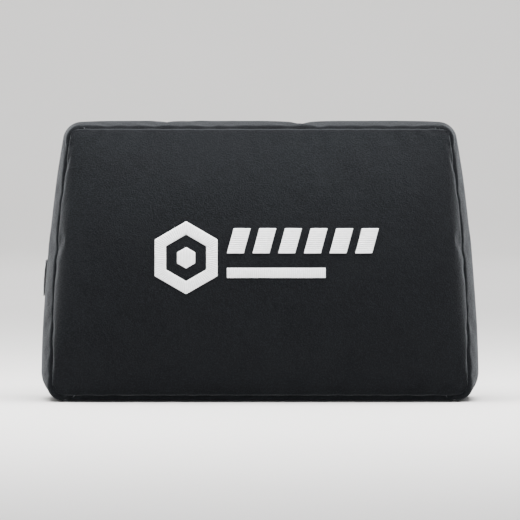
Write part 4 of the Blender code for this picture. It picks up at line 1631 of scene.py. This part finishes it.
@dataclass
class ZipFastener:
    """The zip across the back: woven tapes, nylon coils, stops, cloth end tabs, slider and pull tab.

    Attributes:
        form: the cushion's outside.
        nodes: the CAD nodes.
        wire: the radius of the coils' monofilament.
        coil_pitch: the coils' pitch. A number 5 zip has 1.5 mm; 2.4 mm is the finest that shows.
        tab_half: half the end tabs' width.
        tab_cloth: their thickness.
        guard: where the cloth guard behind the chain lies: its lower and upper Y, and half its width.
        selvedge: the width of the thicker edge of each tape.
        bevel: the rounding of the cast and pressed metal's edges.
    """

    form: CushionForm
    nodes: dict[str, bpy.types.Object]
    wire: float = 0.46 * MM
    coil_pitch: float = 2.4 * MM
    tab_half: float = 5.6 * MM
    tab_cloth: float = 1.2 * MM
    guard: tuple[float, float, float] = (40.0 * MM, 40.6 * MM, 13.5 * MM)
    selvedge: float = 1.2 * MM
    bevel: float = 0.22 * MM

    def build(
        self,
        tape: bpy.types.Material,
        nylon: bpy.types.Material,
        metal: bpy.types.Material,
        cloth: bpy.types.Material,
        thread: bpy.types.Material,
    ) -> None:
        """Builds and dresses the whole zip.

        Args:
            tape: the tapes' material.
            nylon: the coils' material.
            metal: the slider's, tab's and stops' material.
            cloth: the end tabs' material.
            thread: the end tabs' stitches' material.
        """
        for side in ("upper", "lower"):
            strip = self.tape("zip_tape_" + side, 1 if side == "upper" else -1)
            dress(strip, tape, Slot.TAPE, "zip_tape_" + side)
            coil = cords(f"zip_coil_{side}_nylon", [self.helix("zip_coil_" + side)], self.wire, sides=6)
            dress(coil, nylon, Slot.COIL, "zip_coil_" + side)
        for name, slivers in (
            ("zip_top_stop_upper", 0.0),
            ("zip_top_stop_lower", 0.0),
            ("zip_bottom_stop", 0.0),
            ("zip_slider_body", 0.0),
            ("zip_pull_tab", 0.06 * MM),
        ):
            self.rounded(self.nodes[name], slivers)
            dress_node(self.nodes[name], metal)
        for side, sign in (("left", -1), ("right", 1)):
            self.end_tab(side, sign, cloth, thread)
        self.guard_strip(cloth)

    def guard_strip(self, cloth: bpy.types.Material) -> None:
        """A strip of cloth behind the chain, which keeps it off the liner."""
        low, high, half = self.guard
        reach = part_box("zip_tape_upper")[1].x - 1.5 * MM
        x = np.linspace(-reach, reach, 121)[:, None]
        share = np.linspace(-1, 1, 15)[None]
        ripple = 0.12 * MM * np.sin(x / (7 * MM)) * (1 - share**2)
        x, z = np.broadcast_arrays(x, self.form.zip_z + half * share)
        outer = np.stack([x, high - 0.12 * MM + ripple, z], axis=-1)
        inner = outer - np.array([0.0, high - low - 0.12 * MM, 0.0])
        dress(shell("zip_guard_cloth", outer, inner), cloth, Slot.BACK)

    def tape(self, node: str, sign: int) -> bpy.types.Object:
        """One woven tape: thin, slightly rippled, with a thicker selvedge along its outer edge.

        Args:
            node: the CAD node that it stands for, whose space it fills.
            sign: 1 for the tape above the chain, -1 for the one below.

        Returns:
            The tape.
        """
        low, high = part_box(node)
        share = (1 - np.cos(np.linspace(0, np.pi, 19)))[None] / 2
        x = np.linspace(low.x, high.x, 161)[:, None]
        inner_z, outer_z = (low.z, high.z) if sign > 0 else (high.z, low.z)
        selvedge = np.exp(-(((1 - share) * abs(outer_z - inner_z) / self.selvedge) ** 2))
        rounding = np.clip(1 - np.abs(2 * share - 1) ** 12, 0, 1) ** 0.5
        ripple = 0.5 + 0.5 * np.sin(x / (9 * MM) + 2 * share)
        relief = 0.75 + 0.25 * np.maximum(selvedge, 0.4 * ripple)
        height = (high.y - low.y) * (0.3 + 0.7 * rounding * relief)
        z = np.broadcast_to(inner_z + (outer_z - inner_z) * share, height.shape)
        x = np.broadcast_to(x, height.shape)
        face = np.stack([x, low.y + height, z], axis=-1)
        under = np.stack([x, np.full_like(height, low.y), z], axis=-1)
        return shell(node + "_woven", face, under)

    def helix(self, node: str) -> np.ndarray:
        """The path of one coil's monofilament, just inside its CAD bead."""
        low, high = (np.array(corner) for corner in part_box(node))
        middle, half = (low + high) / 2, (high - low) / 2 - self.wire
        turns = 2 * half[0] / self.coil_pitch
        angle = np.linspace(0, 2 * np.pi * turns, int(turns * 14))
        x = low[0] + self.wire + angle / (2 * np.pi) * self.coil_pitch
        y = middle[1] + half[1] * np.sin(angle)
        z = middle[2] + half[2] * np.cos(angle)
        return np.stack([x, y, z], axis=-1)

    def rounded(self, node: bpy.types.Object, slivers: float) -> None:
        """Rounds a CAD node's edges with modifiers, which leave its own mesh as it is.

        Args:
            node: the CAD node.
            slivers: points closer than this become one afterwards, or none do at 0.
        """
        weld = node.modifiers.new("weld", "WELD")
        weld.merge_threshold = 0.005 * MM
        merge = node.modifiers.new("merge flat faces", "DECIMATE")
        merge.decimate_type = "DISSOLVE"
        merge.angle_limit = math.radians(2)
        edge = node.modifiers.new("rounded edges", "BEVEL")
        edge.width = self.bevel
        edge.segments = 3
        edge.limit_method = "ANGLE"
        edge.angle_limit = math.radians(25)
        edge.harden_normals = True
        if slivers:
            node.modifiers.new("merge slivers", "WELD").merge_threshold = slivers

    def end_tab(
        self, side: str, sign: int, cloth: bpy.types.Material, thread: bpy.types.Material
    ) -> None:
        """One folded cloth tab, which rises from the chain's end into the side seam.

        Args:
            side: left or right.
            sign: -1 for left, 1 for right.
            cloth: its material.
            thread: its stitches' material.
        """
        low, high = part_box("zip_end_tab_" + side)
        start = min(abs(low.x), abs(high.x))
        foot = low.y
        end = float(self.form.half_width(np.array([self.form.zip_z]))[0]) - 1.0 * MM
        share = np.concatenate([[0, 0.01, 0.03, 0.06], np.linspace(0.12, 1, 14)])
        x = start + (end - start) * share
        lift = (self.form.back_y - 2.6 * MM - foot - self.tab_cloth) * share**1.6
        lift -= 1.8 * MM * np.exp(-(((end - x) / (4 * MM)) ** 2))
        edge = np.sqrt(np.clip(1 - (1 - np.clip(share / 0.06, 0, 1)) ** 2, 0, 1))
        top = foot + lift + self.tab_cloth * (0.25 + 0.75 * edge)
        across = np.linspace(-1, 1, 13)
        side_round = np.sqrt(np.clip(1 - np.abs(across) ** 8, 0, 1))
        y = foot + lift[:, None] + (top - foot - lift)[:, None] * (0.3 + 0.7 * side_round)
        z = self.form.zip_z + across * self.tab_half
        outer = np.stack(np.broadcast_arrays(sign * x[:, None], y, z), axis=-1)
        inner = outer.copy()
        inner[..., 1] = foot + lift[:, None]
        piece = shell(f"zip_end_tab_{side}_cloth", outer, inner)
        dress(piece, cloth, Slot.BACK, "zip_end_tab_" + side)
        place = float(np.interp(start + 3.2 * MM, x, top))
        paths = []
        for k in range(3):
            z_start = self.form.zip_z + (-5.0 + 3.5 * k) * MM
            at = sign * (start + 3.2 * MM)
            ends = [(at, place - 0.45 * MM, z_start), (at, place - 0.45 * MM, z_start + 2.7 * MM)]
            paths.append(stitch_path(ends[0], ends[1], (0, 1, 0), 0.5 * MM))
        row = cords(f"zip_end_stitches_{side}", paths, 0.33 * MM, sides=6)
        dress(row, thread, Slot.BACK)


@dataclass
class Embroidery:
    """White satin stitching on the face: a hexagon in a ring, six slanted dashes and a stripe.

    Attributes:
        cover: the cover whose face it is sewn on.
        proud: how high its edges stand above the velour.
        dome: how much higher its middle stands.
        ridge: how deep the furrows between threads are.
        thread: the threads' pitch. Real ones lie 0.4 mm apart; 1.7 mm is the finest that shows.
        sunk: how far its underside lies in the velour.
        surface: the face, to lay the patches on.
        emblem, radius, stroke, centre_radius: the emblem's middle, its ring's outer radius and width, and
            the middle hexagon's radius.
        dash_size, dash_pitch, dash_slant, dash_start, dash_count: a dash's width and height, the dashes'
            spacing, how far their tops lean right, the first one's foot, and how many there are.
        stripe_size, stripe_z: the stripe's length and height, and its lower edge.
    """

    cover: SewnCover
    proud: float = 0.25 * MM
    dome: float = 0.75 * MM
    ridge: float = 0.5 * MM
    thread: float = 1.7 * MM
    sunk: float = 0.4 * MM
    surface: BVHTree = field(init=False)
    emblem: tuple[float, float] = (-59.0 * MM, 116.0 * MM)
    radius: float = 29.0 * MM
    stroke: float = 10.5 * MM
    centre_radius: float = 8.5 * MM
    dash_size: tuple[float, float] = (13.5 * MM, 20.0 * MM)
    dash_pitch: float = 20.5 * MM
    dash_slant: float = 5.5 * MM
    dash_start: tuple[float, float] = (-26.5 * MM, 119.5 * MM)
    dash_count: int = 6
    stripe_size: tuple[float, float] = (79.0 * MM, 8.0 * MM)
    stripe_z: float = 100.0 * MM

    def build(self, thread: bpy.types.Material) -> None:
        """Builds and dresses every patch.

        Args:
            thread: their material.
        """
        mesh = bmesh.new()
        mesh.from_mesh(self.cover.sewn_face.data)
        self.surface = BVHTree.FromBMesh(mesh)
        mesh.free()
        side = self.radius - self.stroke / 2
        ring = self.patch("emblem_ring_satin", self.ring, 6 * side, self.stroke, closed=True)
        self.dress_patch(ring, thread, "emblem_ring")
        long = self.centre_radius * math.sqrt(3)
        middle = self.patch("emblem_centre_satin", self.centre, long, long)
        self.dress_patch(middle, thread, "emblem_centre")
        for index in range(self.dash_count):
            start = self.dash_start[0] + self.dash_pitch * index

            def dash(i: np.ndarray, j: np.ndarray, x: float = start) -> tuple[np.ndarray, np.ndarray]:
                """Places in one dash, from its foot up, and from left to right."""
                across = x + self.dash_slant * i + self.dash_size[0] * j
                return across, self.dash_start[1] + self.dash_size[1] * i

            piece = self.patch(f"dash_{index + 1}_satin", dash, self.dash_size[1], self.dash_size[0])
            self.dress_patch(piece, thread, f"dash_{index + 1}")
        stripe = self.patch("stripe_lower_satin", self.stripe, *self.stripe_size)
        self.dress_patch(stripe, thread, "stripe_lower")

    def dress_patch(self, piece: bpy.types.Object, thread: bpy.types.Material, node: str) -> None:
        """Dresses one patch, which stands for its CAD node."""
        dress(piece, thread, Slot.THREAD, node)

    def stripe(self, i: np.ndarray, j: np.ndarray) -> tuple[np.ndarray, np.ndarray]:
        """Places in the stripe, from left to right, and from its foot up."""
        return self.dash_start[0] + self.stripe_size[0] * i, self.stripe_z + self.stripe_size[1] * j

    def hexagon(self, share: np.ndarray, radius: np.ndarray) -> tuple[np.ndarray, np.ndarray]:
        """Places on a hexagon that stands on a corner, this share of the way round it."""
        side = np.minimum(np.floor(share * 6), 5)
        part = share * 6 - side
        turn = np.pi / 2 + np.pi / 3 * side
        x = np.cos(turn) * (1 - part) + np.cos(turn + np.pi / 3) * part
        z = np.sin(turn) * (1 - part) + np.sin(turn + np.pi / 3) * part
        return self.emblem[0] + x * radius, self.emblem[1] + z * radius

    def ring(self, i: np.ndarray, j: np.ndarray) -> tuple[np.ndarray, np.ndarray]:
        """Places in the ring, this share of the way round, and in from its outer edge."""
        return self.hexagon(i, self.radius - self.stroke * j)

    def centre(self, i: np.ndarray, j: np.ndarray) -> tuple[np.ndarray, np.ndarray]:
        """Places in the middle hexagon, from left to right and from its foot up."""
        x = (2 * i - 1) * self.centre_radius * math.sqrt(3) / 2
        half = self.centre_radius - np.abs(x) / math.sqrt(3)
        return self.emblem[0] + x, self.emblem[1] + (2 * j - 1) * half

    def patch(
        self,
        name: str,
        place: Callable[[np.ndarray, np.ndarray], tuple[np.ndarray, np.ndarray]],
        length: float,
        width: float,
        closed: bool = False,
    ) -> bpy.types.Object:
        """A domed patch of parallel threads that lies on the velour.

        Args:
            name: the piece's name.
            place: gives X and Z for shares along the patch and along its threads.
            length: the patch's length, which its threads are counted along.
            width: the threads' length.
            closed: whether the patch runs round to its own start.

        Returns:
            The piece.
        """
        threads = max(6, round(length / self.thread / 6) * 6)
        i = np.linspace(0, 1, threads * 6 + 1)
        i = (i[:-1] if closed else i)[:, None]
        across = max(8, int(width / (1.2 * MM)))
        j = ((1 - np.cos(np.linspace(0, np.pi, across + 1))) / 2)[None]
        x, z = (np.broadcast_to(part, (len(i), across + 1)) for part in place(i, j))
        ground = np.array(
            [self.ground(a, b) for a, b in zip(x.ravel().tolist(), z.ravel().tolist())]
        ).reshape(x.shape)
        dome = np.sqrt(np.clip(1 - np.abs(2 * j - 1) ** 3, 0, 1))
        ends = 1.0 if closed else np.clip(np.minimum(i, 1 - i) * length / (0.5 * MM), 0, 1) ** 0.5
        furrow = 1 - np.abs(np.sin(np.pi * i * threads))
        height = self.proud + self.dome * dome * ends - self.ridge * furrow**1.5
        outer = np.stack([x, ground - height, z], axis=-1)
        inner = np.stack([x, ground + self.sunk, z], axis=-1)
        return shell(name, outer, inner, wrap=closed, sharp=75.0)

    def ground(self, x: float, z: float) -> float:
        """Y of the velour behind this place."""
        hit = self.surface.ray_cast(Vector((x, -1.0, z)), Vector((0.0, 1.0, 0.0)))[0]
        if hit is None:
            raise ValueError(f"the face has nothing behind {x:.4f}, {z:.4f}")
        return hit.y


@dataclass
class CareLabel:
    """A blank satin label, sewn into the left back seam.

    Attributes:
        cover: the cover that it hangs on.
        thickness: its thickness.
        lift: how far it lies off the velour at its sewn edge.
        curl: how much further its free edge stands off.
    """

    cover: SewnCover
    thickness: float = 0.45 * MM
    lift: float = 0.3 * MM
    curl: float = 1.4 * MM

    def build(self, satin: bpy.types.Material) -> None:
        """Builds and dresses the label.

        Args:
            satin: its material.
        """
        low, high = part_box("care_label")
        gusset = self.cover.gusset
        x, z = gusset[:, -1, 0], gusset[:, -1, 2]
        rows = np.flatnonzero((x < 0) & (z > low.z) & (z < high.z))
        middle_row = gusset[rows[len(rows) // 2]]
        steps = np.flatnonzero((middle_row[:, 1] > low.y) & (middle_row[:, 1] < high.y))
        patch = gusset[rows][:, steps]
        normals = grid_normals(patch, False, self.cover.middle)
        free = np.linspace(1, 0, patch.shape[1])[None, :, None] ** 2
        wave = 1 + 0.35 * np.sin(np.linspace(0, 3.4, patch.shape[0]))[:, None, None]
        outer = patch + normals * (self.lift + self.thickness + self.curl * free * wave)
        label = shell("care_label_satin", outer, outer - normals * self.thickness)
        dress(label, satin, Slot.LABEL, "care_label")


@dataclass
class Studio:
    """A pale floor that sweeps up behind the cushion, soft lights and the camera.

    Attributes:
        distance: from the camera to the cushion.
        elevation: how far the camera looks down, in degrees.
        view_width: the width that the camera sees at the cushion.
    """

    distance: float = 4.1
    elevation: float = 2.4
    view_width: float = 0.42

    def build(self, paper: bpy.types.Material) -> None:
        """Builds the floor, the lights and the camera.

        Args:
            paper: the floor's material.
        """
        low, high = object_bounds()
        middle = (Vector(low) + Vector(high)) / 2
        self.floor(paper)
        self.camera(middle)
        wall, ground = Vector((0.0, 5.0, 1.0)), Vector((0.0, 0.4, 0.0))
        for name, place, size, power, colour, aim in (
            ("overhead softbox", (0.0, -0.12, 0.95), (1.2, 0.6), 47.0, "#ffffff", middle),
            ("front fill", (0.4, -2.8, 1.3), (1.6, 1.0), 28.0, "#f4f7ff", middle),
            ("left strip", (-1.5, -0.7, 0.7), (0.4, 1.2), 5.0, "#ffffff", middle),
            ("right strip", (1.5, -0.6, 0.7), (0.4, 1.2), 5.0, "#ffffff", middle),
            ("back fill", (-0.7, 2.0, 1.5), (2.2, 1.6), 18.0, "#ffffff", middle),
            ("floor wash", (0.0, 1.2, 2.4), (2.4, 1.6), 30.0, "#ffffff", ground),
            ("backdrop wash", (0.0, 2.2, 3.0), (3.0, 1.0), 140.0, "#ffffff", wall),
        ):
            self.light(name, Vector(place), size, power, colour, aim)
        world = bpy.data.worlds.new("pale studio")
        bpy.context.scene.world = world
        world.use_nodes = True
        world.node_tree.nodes["Background"].inputs["Color"].default_value = linear("#eef0f2")
        world.node_tree.nodes["Background"].inputs["Strength"].default_value = 0.2

    def floor(self, paper: bpy.types.Material) -> None:
        """A seamless sweep of paper: flat, then curving up."""
        bend = np.linspace(0.1, 1, 12) * np.pi / 2
        depths = np.concatenate([np.linspace(-6, 3, 10), 3 + 2 * np.sin(bend)])
        heights = np.concatenate([np.zeros(10), 2 - 2 * np.cos(bend)])
        depths, heights = np.append(depths, 5.0), np.append(heights, 6.0)
        rows = [[(x, y, z) for y, z in zip(depths, heights)] for x in (-6.0, 6.0)]
        grid = np.array(rows) - np.array([0, 0, 0.0005])
        sweep = link_mesh("studio_sweep", grid, grid_faces(*grid.shape[:2], False))
        sweep.data.shade_smooth()
        sweep.data.materials.append(paper)
        sweep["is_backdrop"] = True

    def light(
        self, name: str, place: Vector, size: tuple[float, float], power: float, colour: str, aim: Vector
    ) -> None:
        """One soft rectangular light, turned to the cushion.

        Args:
            name: its name.
            place: where it stands.
            size: its width and height.
            power: its power in watts.
            colour: its sRGB colour.
            aim: the point that it faces.
        """
        data = bpy.data.lights.new(name, "AREA")
        data.shape = "RECTANGLE"
        data.size, data.size_y = size
        data.energy = power
        data.color = linear(colour)[:3]
        lamp = bpy.data.objects.new(name, data)
        lamp.location = place
        lamp.rotation_euler = (aim - place).to_track_quat("-Z", "Y").to_euler()
        bpy.context.scene.collection.objects.link(lamp)

    def camera(self, middle: Vector) -> None:
        """The camera, straight in front and slightly above."""
        data = bpy.data.cameras.new("camera")
        data.sensor_width = 36.0
        data.lens = 36.0 * self.distance / self.view_width
        data.clip_end = 50.0
        made = bpy.data.objects.new("camera", data)
        angle = math.radians(self.elevation)
        made.location = middle + Vector((0, -math.cos(angle), math.sin(angle))) * self.distance
        made.rotation_euler = (middle - made.location).to_track_quat("-Z", "Y").to_euler()
        bpy.context.scene.collection.objects.link(made)
        bpy.context.scene.camera = made


def main() -> None:
    """Loads the frame and builds every sub-assembly in order."""
    logging.basicConfig(level=logging.INFO, format="%(message)s")
    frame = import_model()
    form = CushionForm()
    cloth, black_thread = BACK_CLOTH.make(), SEWING_THREAD.make()
    cover = SewnCover(form)
    cover.build(VELOUR_BLACK.make())
    CushionFilling(cover).build(LINER_KNIT.make(), FOAM.make())
    BackCover(form).build(cloth, black_thread)
    ZipFastener(form, frame["nodes"]).build(
        ZIP_TAPE.make(), NYLON_COIL.make(), ZINC_LACQUER.make(), cloth, black_thread
    )
    Embroidery(cover).build(SATIN_STITCH.make())
    CareLabel(cover).build(LABEL_SATIN.make())
    Studio().build(SEAMLESS_PAPER.make())


if __name__ == "__main__":
    main()
